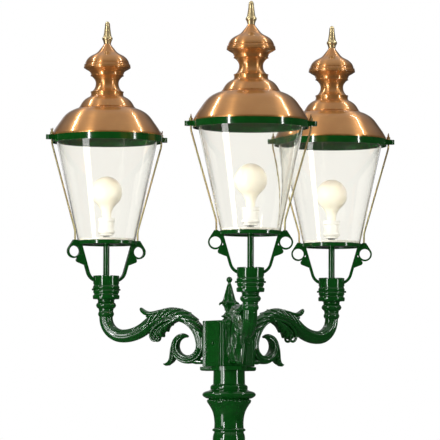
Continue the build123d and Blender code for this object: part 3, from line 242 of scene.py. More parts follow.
# ------------------------------------------------------------------ finishes
@dataclass(frozen=True)
class Finish:
    """A finish: a name, a base colour and how rough it is; the others add their own effects."""

    name: str
    colour: tuple[float, float, float]
    roughness: float
    metallic: float = 0.0
    axis: tuple[float, float] = (0.0, 0.0)

    def start(self) -> tuple[bpy.types.Material, bpy.types.NodeTree, bpy.types.Node, object]:
        """Make the material with its shader.

        Returns:
            The material, its node tree, its shader, and each point's place from the axis as a socket.
        """
        material = bpy.data.materials.new(self.name)
        material.use_nodes = True
        tree = material.node_tree
        shader = tree.nodes["Principled BSDF"]
        feed(shader, {"Base Color": opaque(self.colour), "Roughness": self.roughness,
                      "Metallic": self.metallic})
        where = add_node(tree, "ShaderNodeTexCoord").outputs["Object"]
        offset = (-self.axis[0], -self.axis[1], 0.0)
        centre = add_node(tree, "ShaderNodeMapping", {"Vector": where, "Location": offset})
        return material, tree, shader, centre.outputs["Vector"]

    def shade(self, tree: bpy.types.NodeTree, low: float, high: float, mask: object) -> object:
        """The base colour's socket, times low where the mask is 0 and times high where it is 1."""
        dark, light = (opaque(part * factor for part in self.colour) for factor in (low, high))
        return blended(tree, mask, dark, light)

    def rough(self, tree: bpy.types.NodeTree, low: float, high: float, mask: object) -> object:
        """The roughness's socket, times low at a noise's low end and times high at its high end."""
        return spread(tree, mask, *NOISE_SPAN, self.roughness * low, self.roughness * high)

    def bump(self, tree: bpy.types.NodeTree, shader: bpy.types.Node, height: object, depth_mm: float,
             strength: float) -> None:
        """Give the shader a bump from a height whose whole range stands for a depth."""
        inputs = {"Height": height, "Distance": depth_mm * MM, "Strength": strength}
        feed(shader, {"Normal": add_node(tree, "ShaderNodeBump", inputs).outputs["Normal"]})

    def vary(self, tree: bpy.types.NodeTree, shader: bpy.types.Node, mask: object,
             shades: tuple[float, float], roughs: tuple[float, float], relief: tuple[float, float]) -> None:
        """Let a noise vary the colour and the roughness, and raise the surface.

        Args:
            tree: Node tree of the material.
            shader: Its shader.
            mask: Socket of the noise.
            shades: Factors on the colour where the noise is 0 and 1.
            roughs: Factors on the roughness at the noise's low and high end.
            relief: Depth of the bump in millimetres and the share of it that is used.
        """
        feed(shader, {"Base Color": self.shade(tree, *shades, mask),
                      "Roughness": self.rough(tree, *roughs, mask)})
        self.bump(tree, shader, mask, *relief)

    def build(self) -> bpy.types.Material:
        """Make the material: this plain one has a soft speckle in colour and roughness.

        Returns:
            The material.
        """
        material, tree, shader, place = self.start()
        self.vary(tree, shader, noise(tree, place, 260.0), (0.9, 1.08), (0.85, 1.15), (0.05, 0.5))
        return material


@dataclass(frozen=True)
class Porcelain(Finish):
    """Glazed cream ceramic, softly glowing by emission: painted light that stands in for the light inside the
    shade.
    """

    glow: float = 0.07

    def build(self) -> bpy.types.Material:
        """Make the glaze over a faint mottle.

        Returns:
            The material.
        """
        material, tree, shader, place = self.start()
        self.vary(tree, shader, noise(tree, place, 150.0), (0.95, 1.04), (0.8, 1.2), (0.06, 0.4))
        # painted light: an emission that stands in for the light reaching the holder inside the shade; it is
        # no lamp
        feed(shader, {"Emission Color": opaque(self.colour), "Emission Strength": self.glow})
        return material


@dataclass(frozen=True)
class GasketRubber(Finish):
    """Rubber of the glass's channels: bare at the foot and painted over with the ring at the crown."""

    painted: tuple[float, float, float] = (0.002, 0.064, 0.005)
    paint_roughness: float = 0.2
    paint_level: float = 2.2
    paint_edge: float = 0.01

    def build(self) -> bpy.types.Material:
        """Make the rubber with its colour changing at the paint's level.

        Returns:
            The material.
        """
        material, tree, shader, place = self.start()
        grain = noise(tree, place, 320.0)
        height = add_node(tree, "ShaderNodeSeparateXYZ", {0: place}).outputs[2]
        low, high = self.paint_level - self.paint_edge, self.paint_level + self.paint_edge
        crown = spread(tree, height, low, high, 0.0, 1.0)
        bare = self.shade(tree, 0.92, 1.05, grain)
        feed(shader, {"Base Color": blended(tree, crown, bare, opaque(self.painted)),
                      "Roughness": spread(tree, crown, 0.0, 1.0, self.roughness, self.paint_roughness)})
        self.bump(tree, shader, grain, 0.05, 0.4)
        return material


@dataclass(frozen=True)
class GlossPaint(Finish):
    """Deep gloss paint over cast iron; on carving it has painted shade in the recesses and a painted
    highlight on the edges.
    """

    hollows: bool = False
    coat: float = 0.35
    coat_roughness: float = 0.05
    # colours of the painted shade in recesses and of the painted highlight on edges of carving
    hollow_colour: tuple[float, float, float] = (0.0, 0.008, 0.0)
    edge_colour: tuple[float, float, float] = (0.006, 0.13, 0.018)

    def build(self) -> bpy.types.Material:
        """Make the paint: cloudy green and orange peel, and on carving painted shade in recesses and painted
        highlights on edges.

        Returns:
            The material.
        """
        material, tree, shader, place = self.start()
        skin = Effects.get(tree, cast_skin, place)
        colour = self.shade(tree, 0.7, 1.35, skin["Cloud"])
        if self.hollows:
            # painted shade and highlight: Pointiness darkens the recesses of carving to near black and
            # lightens its ridges
            relief = add_node(tree, "ShaderNodeNewGeometry").outputs["Pointiness"]
            depth = spread(tree, relief, 0.44, 0.5, 0.75, 0.0)
            edge = spread(tree, relief, 0.52, 0.58, 0.0, 0.55)
            colour = blended(tree, depth, colour, opaque(self.hollow_colour))
            colour = blended(tree, edge, colour, opaque(self.edge_colour))
        dull, bright = self.roughness * 1.3, self.roughness * 0.8
        feed(shader, {"Base Color": colour, "Coat Weight": self.coat, "Coat Roughness": self.coat_roughness,
                      "Roughness": spread(tree, skin["Cloud"], 0.35, 0.65, bright, dull)})
        self.bump(tree, shader, skin["Peel"], 0.12, 0.5)
        return material


@dataclass(frozen=True)
class SpunMetal(Finish):
    """Spun sheet with the fine rings of its brushing and a slow tarnish."""

    tarnish: tuple[float, float, float] = (0.4, 0.2, 0.1)
    line_depth_mm: float = 0.08
    brushing: float = 0.6
    brushing_turn: float = 0.25
    lacquer: float = 0.0
    lacquer_roughness: float = 0.07

    def build(self) -> bpy.types.Material:
        """Make the metal: brushed rings in its bump and roughness, clouds in its colour, lacquer over all.

        Returns:
            The material.
        """
        material, tree, shader, place = self.start()
        rings = Effects.get(tree, brushed_rings, place)
        streak = self.shade(tree, 0.86, 1.1, rings["Lines"])
        cloud = spread(tree, rings["Cloud"], 0.42, 0.75, 0.0, 0.55)
        lay = add_node(tree, "ShaderNodeTangent", direction_type="RADIAL", axis="Z")
        feed(shader, {"Base Color": blended(tree, cloud, streak, opaque(self.tarnish)),
                      "Roughness": self.rough(tree, 0.8, 1.25, rings["Lines"]),
                      "Coat Weight": self.lacquer, "Coat Roughness": self.lacquer_roughness,
                      "Anisotropic": self.brushing, "Anisotropic Rotation": self.brushing_turn,
                      "Tangent": lay.outputs["Tangent"]})
        self.bump(tree, shader, rings["Lines"], self.line_depth_mm, 0.6)
        return material


@dataclass(frozen=True)
class ShadeGlass(Finish):
    """Pressed glass of the shade: faint waves, a soft haze, a warm tint and a faint warm emission as painted
    light.
    """

    refraction: float = 1.45
    glow: float = 0.008
    glow_colour: tuple[float, float, float] = (1.0, 0.95, 0.87)

    def build(self) -> bpy.types.Material:
        """Make the glass, with waves in its bump and a faint uneven haze.

        Returns:
            The material.
        """
        material, tree, shader, place = self.start()
        drawn = add_node(tree, "ShaderNodeMapping", {"Vector": place, "Scale": (1.0, 1.0, 0.35)})
        waves = noise(tree, drawn.outputs["Vector"], 22.0, 2.0)
        self.vary(tree, shader, waves, (0.985, 1.01), (0.6, 1.4), (0.4, 0.25))
        # painted light: the faint warm emission brightens the glass, which is no lamp
        feed(shader, {"Transmission Weight": 1.0, "IOR": self.refraction,
                      "Emission Color": opaque(self.glow_colour), "Emission Strength": self.glow})
        return material


@dataclass(frozen=True)
class MilkGlass(Finish):
    """Opal glass of the lamp's globe, soft inside and glossy outside, glowing warm by emission as painted
    light.
    """

    glow: float = 0.16
    glow_colour: tuple[float, float, float] = (1.0, 0.93, 0.8)
    softness: float = 0.35
    soft_depth: tuple[float, float, float] = (0.02, 0.018, 0.014)

    def build(self) -> bpy.types.Material:
        """Make the opal glass with a faint cloud in it.

        Returns:
            The material.
        """
        material, tree, shader, place = self.start()
        self.vary(tree, shader, noise(tree, place, 60.0, 3.0), (0.96, 1.02), (0.75, 1.25), (0.05, 0.3))
        # painted light: the warm emission stands in for the light reaching the globe inside the shade
        feed(shader, {"Emission Color": opaque(self.glow_colour), "Emission Strength": self.glow,
                      "Subsurface Weight": self.softness, "Subsurface Radius": self.soft_depth})
        return material


# ------------------------------------------------------------------ modelling helpers
def deselect() -> None:
    """Leave edit mode and deselect every object."""
    if bpy.context.mode != "OBJECT":
        bpy.ops.object.mode_set(mode="OBJECT")
    bpy.ops.object.select_all(action="DESELECT")


def only(piece: bpy.types.Object) -> None:
    """Select one object and make it the active one.

    Args:
        piece: The object.
    """
    deselect()
    piece.select_set(True)
    bpy.context.view_layer.objects.active = piece


def settle(piece: bpy.types.Object) -> bpy.types.Object:
    """Put the object's place, turn and size into its mesh.

    Args:
        piece: The object.

    Returns:
        The same object.
    """
    only(piece)
    bpy.ops.object.transform_apply(location=True, rotation=True, scale=True)
    return piece


def smooth(piece: bpy.types.Object, angle: float = 35.0) -> bpy.types.Object:
    """Shade a piece smooth between its sharp edges.

    Args:
        piece: The piece.
        angle: Angle in degrees above which an edge is sharp.

    Returns:
        The same piece.
    """
    only(piece)
    bpy.ops.object.shade_smooth_by_angle(angle=math.radians(angle))
    return piece


def placed(piece: bpy.types.Object, place: Sequence[float] = (0.0, 0.0, 0.0),
           turn: Sequence[float] = (0.0, 0.0, 0.0)) -> bpy.types.Object:
    """Turn and move a piece that was modelled at the origin, and settle it there.

    Args:
        piece: Piece that is placed.
        place: Where its origin goes, in millimetres.
        turn: Degrees about X, Y and Z.

    Returns:
        The same piece.
    """
    piece.rotation_euler = [math.radians(angle) for angle in turn]
    piece.location = [part * MM for part in place]
    return settle(piece)


def copied(pattern: bpy.types.Object, name: str) -> bpy.types.Object:
    """A copy of a piece with its own mesh.

    Args:
        pattern: Piece that is copied.
        name: Name of the copy.

    Returns:
        The copy, linked to the scene.
    """
    copy = pattern.copy()
    copy.data = pattern.data.copy()
    copy.name = name
    bpy.context.scene.collection.objects.link(copy)
    return copy


def edit_all(piece: bpy.types.Object) -> None:
    """Enter edit mode on a piece with all of its mesh selected.

    Args:
        piece: The piece.
    """
    only(piece)
    bpy.ops.object.mode_set(mode="EDIT")
    bpy.ops.mesh.select_all(action="SELECT")


def resized(piece: bpy.types.Object, factors: Sequence[float], centre: Sequence[float]) -> bpy.types.Object:
    """Scale a piece's mesh about a point.

    Args:
        piece: The piece.
        factors: Factor along each axis.
        centre: The point, in metres.

    Returns:
        The same piece.
    """
    edit_all(piece)
    bpy.ops.transform.resize(value=factors, center_override=centre)
    bpy.ops.object.mode_set(mode="OBJECT")
    return piece


def close_mesh() -> None:
    """Turn the faces of the mesh in edit mode outwards and leave edit mode."""
    bpy.ops.mesh.select_all(action="SELECT")
    bpy.ops.mesh.normals_make_consistent(inside=False)
    bpy.ops.object.mode_set(mode="OBJECT")


def apply_modifier(piece: bpy.types.Object, kind: str, **settings: object) -> bpy.types.Object:
    """Add a modifier, set it and apply it.

    Args:
        piece: Object that gets it.
        kind: Blender's name of the modifier type.
        **settings: Attributes of the modifier.

    Returns:
        The same object.
    """
    only(piece)
    modifier = piece.modifiers.new(kind.lower(), kind)
    for label, value in settings.items():
        setattr(modifier, label, value)
    bpy.ops.object.modifier_apply(modifier=modifier.name)
    return piece


def curved(points: Sequence[tuple[float, float]], steps: int = 6) -> list[tuple[float, float]]:
    """A smooth run of stations through a few (radius, height) points.

    Args:
        points: Points in millimetres.
        steps: Stations between two points.

    Returns:
        The stations, ends included.
    """
    if len(points) == 2:
        return list(points)
    run = []
    for index in range(len(points) - 1):
        before = points[max(index - 1, 0)]
        start, end = points[index], points[index + 1]
        after = points[min(index + 2, len(points) - 1)]
        for step in range(steps):
            t = step / steps
            run.append(tuple(
                0.5 * (2 * b + (c - a) * t + (2 * a - 5 * b + 4 * c - d) * t * t
                       + (3 * b - a - 3 * c + d) * t ** 3)
                for a, b, c, d in zip(before, start, end, after)))
    run.append(points[-1])
    return run


def outline(spans: Iterable[Sequence[tuple[float, float]]], steps: int = 6) -> list[tuple[float, float]]:
    """Stations of a whole outline made of spans that meet end to end.

    Args:
        spans: Spans of (radius, height) in millimetres: two points are a line, more a curve.
        steps: Stations between two points of a curve.

    Returns:
        The outline's stations without doubles.
    """
    stations: list[tuple[float, float]] = []
    for span in spans:
        run = curved(span, steps)
        stations += run[1:] if stations else run
    return stations


def turned(name: str, stations: Sequence[tuple[float, float]], rise: float,
           segments: int) -> bpy.types.Object:
    """A round piece, made from a ring that is extruded and sized from station to station.

    Args:
        name: Name of the object.
        stations: (radius, height) in millimetres, from the foot up.
        rise: Height of the piece's foot in millimetres.
        segments: Sides of the ring.

    Returns:
        The piece, with its axis on Z.
    """
    deselect()
    radius, height = stations[0]
    bpy.ops.mesh.primitive_circle_add(vertices=segments, radius=radius * MM, fill_type="NOTHING",
                                      location=(0.0, 0.0, (height + rise) * MM))
    piece = bpy.context.object
    piece.name = name
    edit_all(settle(piece))
    bpy.ops.mesh.edge_face_add()
    for (near, low), (far, high) in zip(stations, stations[1:]):
        bpy.ops.mesh.extrude_region_move(TRANSFORM_OT_translate={"value": (0.0, 0.0, (high - low) * MM)})
        factor = far / near
        bpy.ops.transform.resize(value=(factor, factor, 1.0),
                                 center_override=(0.0, 0.0, (high + rise) * MM))
    close_mesh()
    return smooth(piece)


# ------------------------------------------------------------------ scroll arms
@dataclass(frozen=True)
class Station:
    """One section of a swept piece: its place and half sizes in millimetres, in the arm's own plane."""

    reach: float
    height: float
    half_width: float
    half_depth: float

    def towards(self, other: "Station", share: float) -> "Station":
        """The section at a share of the way to another one."""
        return Station(*(a + (b - a) * share for a, b in zip(astuple(self), astuple(other))))


def arc(centre: tuple[float, float], radii: tuple[float, float], start: float, end: float,
        steps: int) -> list[tuple[float, float]]:
    """Points along an arc of an oval in (reach, height), its angles in radians, without its first one."""
    turns = [start + (end - start) * step / steps for step in range(1, steps + 1)]
    return [(centre[0] + radii[0] * math.cos(turn), centre[1] + radii[1] * math.sin(turn)) for turn in turns]


def swept(name: str, stations: Sequence[Station], reeds: int = 0, sides: int = 24,
          valley: float = 0.0) -> bpy.types.Object:
    """A bar along a bent line in the XZ plane, from a ring that is extruded, turned and sized.

    Args:
        name: Name of the object.
        stations: Sections from one end to the other.
        reeds: Number of lengthwise reeds, or 0 for a plain oval.
        sides: Sides of the ring.
        valley: Depth of the valleys between reeds, as a share of the half width.

    Returns:
        The closed bar.
    """
    headings = []
    for index in range(len(stations)):
        before, after = stations[max(index - 1, 0)], stations[min(index + 1, len(stations) - 1)]
        headings.append(math.atan2(after.reach - before.reach, after.height - before.height))
    first = stations[0]
    origin = (0.0, 0.0, 0.0)
    deselect()
    bpy.ops.mesh.primitive_circle_add(vertices=sides, radius=MM, fill_type="NOTHING", location=origin)
    piece = bpy.context.object
    piece.name = name
    bpy.ops.object.mode_set(mode="EDIT")
    if reeds:
        sink_valleys(piece, sides // reeds, valley)
    bpy.ops.mesh.select_all(action="SELECT")
    bpy.ops.transform.resize(value=(first.half_width, first.half_depth, 1.0), center_override=origin)
    turn_selected(headings[0], origin)
    bpy.ops.transform.translate(value=(first.reach * MM, 0.0, first.height * MM))
    bpy.ops.mesh.edge_face_add()
    for last, here, was, heading in zip(stations, stations[1:], headings, headings[1:]):
        centre = (here.reach * MM, 0.0, here.height * MM)
        bpy.ops.mesh.extrude_region_move(TRANSFORM_OT_translate={
            "value": ((here.reach - last.reach) * MM, 0.0, (here.height - last.height) * MM)})
        turn_selected(math.remainder(heading - was, math.tau), centre)
        factor = here.half_width / last.half_width
        bpy.ops.transform.resize(value=(factor, here.half_depth / last.half_depth, factor),
                                 center_override=centre)
    close_mesh()
    return settle(piece)


def turn_selected(angle: float, centre: tuple[float, float, float]) -> None:
    """Turn what is selected about Y; with no window the operator turns the other way."""
    bpy.ops.transform.rotate(value=-angle, orient_axis="Y", orient_type="GLOBAL", center_override=centre)


def sink_valleys(piece: bpy.types.Object, per_reed: int, share: float) -> None:
    """Draw the points between the reeds of a unit ring towards its centre.

    Args:
        piece: Ring in edit mode.
        per_reed: Points on each reed.
        share: Depth of a valley as a share of the radius.
    """
    for offset in range(per_reed):
        depth = share * (2 * abs(offset / per_reed - 0.5)) ** 2
        mesh = bmesh.from_edit_mesh(piece.data)
        mesh.verts.ensure_lookup_table()
        for vert in mesh.verts:
            vert.select_set(vert.index % per_reed == offset)
        mesh.select_flush_mode()
        bmesh.update_edit_mesh(piece.data)
        bpy.ops.transform.resize(value=(1 - depth, 1 - depth, 1.0), center_override=(0.0, 0.0, 0.0))


def veins(name: str, lines: Iterable[Ridge]) -> bpy.types.Object:
    """Tapering round ridges, one along each line, made as splines and turned into a mesh.

    Args:
        name: Name of the object.
        lines: The ridges' lines.

    Returns:
        The ridges as one mesh.
    """
    curve = bpy.data.curves.new(name, "CURVE")
    curve.dimensions = "3D"
    curve.bevel_depth = MM
    curve.bevel_resolution = 2
    curve.use_fill_caps = True
    for line in lines:
        spline = curve.splines.new("NURBS")
        spline.points.add(len(line) - 1)
        for point, (place, radius) in zip(spline.points, line):
            point.co = (*(place * MM), 1.0)
            point.radius = radius
        spline.use_endpoint_u = True
        spline.order_u = 3
        spline.resolution_u = 4
    piece = bpy.data.objects.new(name, curve)
    bpy.context.scene.collection.objects.link(piece)
    only(piece)
    bpy.ops.object.convert(target="MESH")
    return bpy.context.object


def joined(name: str, pieces: Sequence[bpy.types.Object]) -> bpy.types.Object:
    """Join pieces into the first one and name it.

    Args:
        name: Name of the joined object.
        pieces: What is joined.

    Returns:
        The joined object.
    """
    deselect()
    for piece in pieces:
        piece.select_set(True)
    bpy.context.view_layer.objects.active = pieces[0]
    bpy.ops.object.join()
    pieces[0].name = name
    return pieces[0]


def recast(piece: bpy.types.Object, grain: float) -> bpy.types.Object:
    """Melt joined pieces into one soft skin that keeps forms down to a grain in millimetres."""
    apply_modifier(piece, "REMESH", mode="VOXEL", voxel_size=grain * MM, use_smooth_shade=True)
    return apply_modifier(piece, "SMOOTH", factor=0.5, iterations=2)


def block(name: str, low: tuple[float, float, float], high: tuple[float, float, float],
          round_mm: float = 1.0) -> bpy.types.Object:
    """A box between two corners in millimetres, its edges rounded.

    Args:
        name: Name of the object.
        low: Lowest corner.
        high: Highest corner.
        round_mm: Radius of the rounded edges.

    Returns:
        The box.
    """
    middle = [(a + b) / 2 * MM for a, b in zip(low, high)]
    deselect()
    bpy.ops.mesh.primitive_cube_add(size=1.0, location=middle)
    piece = bpy.context.object
    piece.name = name
    piece.scale = [(b - a) * MM for a, b in zip(low, high)]
    settle(piece)
    return apply_modifier(piece, "BEVEL", width=round_mm * MM, segments=3)


@dataclass(frozen=True)
class Leaf:
    """A leaf of the arm, drawn from an origin whose rise counts from the hub's foot.

    The body has (reach, rise, half thickness, half depth) sections. A line, which lies on both sides of the
    leaf, has (reach, rise, distance from the arm's plane, radius) points.
    """

    name: str
    body: tuple[tuple[float, ...], ...]
    lines: tuple[tuple[tuple[float, ...], ...], ...]
    origin: tuple[float, float] = (0.0, 0.0)


def belly_lobe(tip: float, rise: float, bend: float) -> tuple[tuple[float, ...], ...]:
    """A lobe of the belly leaf, from the leaf's stem to its tip.

    Args:
        tip: Reach of the lobe's tip.
        rise: Rise of its tip.
        bend: How far it bows outwards on its way.

    Returns:
        The lobe's points, as a line of a Leaf.
    """
    stem, stem_rise = 160.0, 141.0
    return ((stem + (tip - stem) * 0.1, stem_rise, 17.0, 1.8),
            (stem + (tip - stem) * 0.7 + bend, stem_rise - (stem_rise - rise) * 0.25, 17.0, 4.4),
            (tip + bend, rise + 10.0, 13.0, 7.0),
            (tip + 1.0, rise + 2.0, 8.0, 6.4),
            (tip - 3.0, rise, 4.0, 4.0))


BROW_LEAF = Leaf("brow", (
    (160, 162.5, 6, 9), (179, 173.5, 6, 17), (202, 171, 6, 20), (224, 167, 6, 20), (240, 163, 6.5, 19),
    (253, 160.5, 7, 17), (264, 161.5, 7.5, 15), (273, 165, 7.5, 13), (280, 170, 7, 11), (285, 175.5, 5.5, 8),
    (287.5, 179, 3, 4)), (
    ((240, 165, 15, 3.0), (258, 161.5, 13, 4.2), (272, 164, 10, 4.4), (281, 171, 7, 4.0), (286, 178, 2, 2.6)),
    ((236, 158, 17, 2.0), (248, 152, 18, 3.6), (259, 150, 15, 3.4), (264, 153, 12, 2.4))))
BELLY_LEAF = Leaf("belly", (
    (178, 142, 7, 10), (192, 132, 11, 14), (207, 121, 14, 15), (222, 111, 16, 14), (234, 101, 15, 13),
    (240, 90, 11, 11)), (
    ((158, 146, 18, 2.0), (182, 144, 18, 3.0), (208, 137, 18, 4.0), (232, 124, 16, 4.6), (247, 108, 13, 4.8),
     (251, 92, 12, 4.6), (243, 80, 12, 4.4), (230, 80, 12, 4.0), (225, 91, 12, 3.6), (232, 100, 12, 3.0),
     (239, 95, 12, 2.6), (237, 89, 12, 2.4)),
    belly_lobe(214, 93, 5), belly_lobe(200, 109, 2), belly_lobe(186, 127, 0),
    ((176, 139, 17, 1.6), (204, 130, 17, 3.0), (228, 113, 14, 3.6), (236, 100, 12, 2.4))))
TAIL_LEAF = Leaf("tail", (
    (43, 6, 4, 12), (45, -8, 6, 14), (46, -22, 7.5, 14), (48, -35, 8, 13), (53, -46, 7, 11), (62, -54, 5, 8),
    (72, -56, 3.4, 6), (80, -53, 2, 3)), (
    ((44, 14, 15, 1.8), (49, -6, 16, 3.0), (51, -24, 15, 3.4), (54, -40, 13, 3.2), (63, -51, 9, 2.8),
     (75, -54, 4, 2.0)),
    ((37, -10, 16, 1.6), (42, -26, 15, 2.6), (46, -40, 13, 3.0), (54, -51, 9, 2.6), (66, -57, 4, 2.0))),
    (132.0, 63.0))


@dataclass
class ScrollArm:
    """Cast scroll arm along +X, with reeds, acanthus leaves, beads at its neck and a flange."""

    hub_level: float = 1649.0
    reach: float = 400.0
    seat_rise: float = 207.0
    tube: float = 20.5
    bend: float = 57.0
    belly_rise: float = 94.5
    crest: tuple[float, float] = (177.0, 157.0)
    arc_share: float = 0.48
    eye: tuple[float, float] = TAIL_LEAF.origin
    volute: tuple[tuple[float, float, float, float], ...] = (
        (180, 42, 15.5, 18), (225, 41, 14.5, 18), (270, 40.5, 13.5, 18), (315, 41, 13.5, 18),
        (360, 41.5, 13, 17), (395, 39, 11, 15), (425, 34, 8, 12), (450, 28, 3.5, 8))
    bend_steps: int = 14
    slope_steps: int = 9
    shoulder_steps: int = 12
    volute_steps: int = 4
    reeds: int = 8
    reed_sides: int = 8
    reed_valley: float = 0.09
    flange: tuple[float, float, float] = (62.0, 12.0, 137.0)
    wall: float = 62.0
    neck_height: float = 35.0
    neck_sides: int = 48
    cast_grain: float = 1.15
    rib: tuple[float, float] = (45.0, 27.5)
    lobes: int = 8
    first_lobe: float = 29.5
    lobe_gap: float = 2.1
    lobe_run: float = 3.9
    lobe_relief: float = 4.4
    volute_lines: tuple[tuple[float, float], ...] = ((52, 44.0), (88, 47.0), (124, 38.0))
    volute_lines_end: float = 70.0

    def line(self) -> list[Station]:
        """Sections of the arm from its neck through the bend, the crest and the shoulder to the volute.

        Returns:
            The sections in order.
        """
        base, full, quarter = self.hub_level, self.tube, math.pi / 2
        seat = base + self.seat_rise - self.neck_height
        belly_x, belly_z = self.reach - self.bend, base + self.belly_rise
        crest_x, crest_z = self.crest[0], base + self.crest[1]
        run, climb = belly_x - crest_x, crest_z - belly_z
        lean = 2 * math.atan(climb / run)
        radius = run / math.sin(lean)
        rise, brow = radius * self.arc_share, radius * (1 - self.arc_share)
        bend_top = belly_z + self.bend
        places = [(self.reach, seat), (self.reach, (seat + bend_top) / 2), (self.reach, bend_top)]
        places += arc((belly_x, bend_top), (self.bend, self.bend), 0.0, -quarter, self.bend_steps)
        places += arc((belly_x, belly_z + rise), (rise, rise), -quarter, -quarter - lean, self.slope_steps)
        places += arc((crest_x, crest_z - brow), (brow, brow), quarter - lean, quarter, self.slope_steps)
        sections = [Station(*place, full, full) for place in places]

        eye_x, eye_z = self.eye[0], base + self.eye[1]
        _, radius, width, depth = self.volute[0]
        radii = (crest_x - eye_x + radius, crest_z - eye_z)
        for step, place in enumerate(arc((crest_x, eye_z), radii, quarter, math.pi, self.shoulder_steps), 1):
            share = step / self.shoulder_steps
            sections.append(Station(*place, full + (width - full) * share, full + (depth - full) * share))
        for before, after in zip(self.volute, self.volute[1:]):
            for step in range(1, self.volute_steps + 1):
                share = step / self.volute_steps
                turn, radius, width, depth = (a + (b - a) * share for a, b in zip(before, after))
                turn = math.radians(turn)
                sections.append(Station(eye_x + radius * math.cos(turn), eye_z + radius * math.sin(turn),
                                        width, depth))
        return sections

    def skin(self, stations: Sequence[Station], place: float, turn: float, lift: float) -> Vector:
        """A point on the arm's skin.

        Args:
            stations: The arm's sections.
            place: Index of the section, with its fraction.
            turn: Degrees round the bar: 0 on its outer side, 90 on the side facing +Y, 180 below.
            lift: Distance out of the skin.

        Returns:
            The point in millimetres.
        """
        index = max(0, min(int(place), len(stations) - 2))
        near, far = stations[index], stations[index + 1]
        here = near.towards(far, place - index)
        along = Vector((far.reach - near.reach, 0.0, far.height - near.height)).normalized()
        turn = math.radians(turn)
        outward = Vector((along.z, 0.0, -along.x)) * (here.half_width + lift) * math.cos(turn)
        aside = Vector((0.0, (here.half_depth + lift) * math.sin(turn), 0.0))
        return Vector((here.reach, 0.0, here.height)) + outward + aside

    def blade(self, name: str, sections: Iterable[tuple[float, ...]],
              origin: tuple[float, float] = (0.0, 0.0)) -> bpy.types.Object:
        """A swept oval in the arm's plane.

        Args:
            name: Name of the object.
            sections: (reach, rise, half thickness, half depth) along it.
            origin: Where reach and rise count from; its rise is over the hub's foot.

        Returns:
            The closed piece.
        """
        reach, rise = origin[0], origin[1] + self.hub_level
        return swept(name, [Station(reach + out, rise + up, thick, deep)
                            for out, up, thick, deep in sections])

    def leaf(self, leaf: Leaf, on_skin: Sequence[list[Ridge]] = ((), ())) -> list[bpy.types.Object]:
        """Model a leaf with its raised lines.

        Args:
            leaf: Its shape.
            on_skin: Further lines of the side facing +Y and of the side facing -Y.

        Returns:
            The leaf's body and its ridges.
        """
        reach, rise = leaf.origin[0], leaf.origin[1] + self.hub_level
        ridges = []
        for side, further in zip((1, -1), on_skin):
            ridges += further
            for line in leaf.lines:
                ridges.append([(Vector((reach + out, side * aside, rise + up)), radius)
                               for out, up, aside, radius in line])
        return [self.blade(f"{leaf.name} leaf", leaf.body, leaf.origin), veins(f"{leaf.name} ridges", ridges)]

    def brow_relief(self, stations: Sequence[Station], side: int) -> list[Ridge]:
        """Mid rib and slanting lobes that the crest's leaf spreads over one side of the bar.

        Args:
            stations: The arm's sections.
            side: 1 for the side facing +Y, -1 for the other one.

        Returns:
            The lines of the rib and the lobes.
        """
        shares = [step / 5 for step in range(6)]
        start, end = self.rib
        lines = [[(self.skin(stations, start + (end - start) * share, side * (9 - 6 * share), 1.6),
                   2.6 + 0.8 * share) for share in shares]]
        for index in range(self.lobes):
            root = self.first_lobe + self.lobe_gap * index
            sizes = [(share, 2.6 + 10.5 * share * (1.14 - share)) for share in shares]
            lines.append([(self.skin(stations, root - self.lobe_run * share, side * (22 + 72 * share),
                                     self.lobe_relief - radius), radius) for share, radius in sizes])
        return lines

    def volute_relief(self, stations: Sequence[Station]) -> bpy.types.Object:
        """Fine raised lines on both sides of the volute.

        Args:
            stations: The arm's sections.

        Returns:
            The lines as one mesh.
        """
        shares = [step / 16 for step in range(17)]
        lines = []
        for side in (1, -1):
            for turn, start in self.volute_lines:
                run = self.volute_lines_end - start
                lines.append([(self.skin(stations, start + run * share, side * turn, 0.6), 2.4 - 1.2 * share)
                              for share in shares])
        return veins("volute lines", lines)

    def neck(self) -> bpy.types.Object:
        """Beads between the arm's bar and the lantern's seat.

        Returns:
            The turned neck in its place.
        """
        full = self.tube
        spans = [
            [(full - 4, -20), (full + 1.5, -17)],
            [(full + 1.5, -17), (24.5, -10.5), (full + 2, -4)],
            [(full + 2, -4), (full + 0.8, -1), (full + 2.4, 2.5), (full + 1, 5)],
            [(full + 1, 5), (27, 8.5), (30.5, 15.5), (27.5, 22.5), (23, 25.5)],
            [(23, 25.5), (25.6, 28), (24.2, 31)],
            [(24.2, 31), (28, self.neck_height - 0.2)]]
        foot = self.hub_level + self.seat_rise - self.neck_height
        return placed(turned("neck", outline(spans, 4), foot, self.neck_sides), (self.reach, 0.0, 0.0))

    def spigot(self) -> bpy.types.Object:
        """Spigot that the lantern's socket slips over.

        Returns:
            The turned spigot in its place.
        """
        stations = [(24.0, 0.0), (25.2, 2.0), (25.8, 3.0), (25.8, 28.5), (24.5, 29.8)]
        piece = turned("spigot", stations, self.hub_level + self.seat_rise, self.neck_sides)
        return placed(piece, (self.reach, 0.0, 0.0))

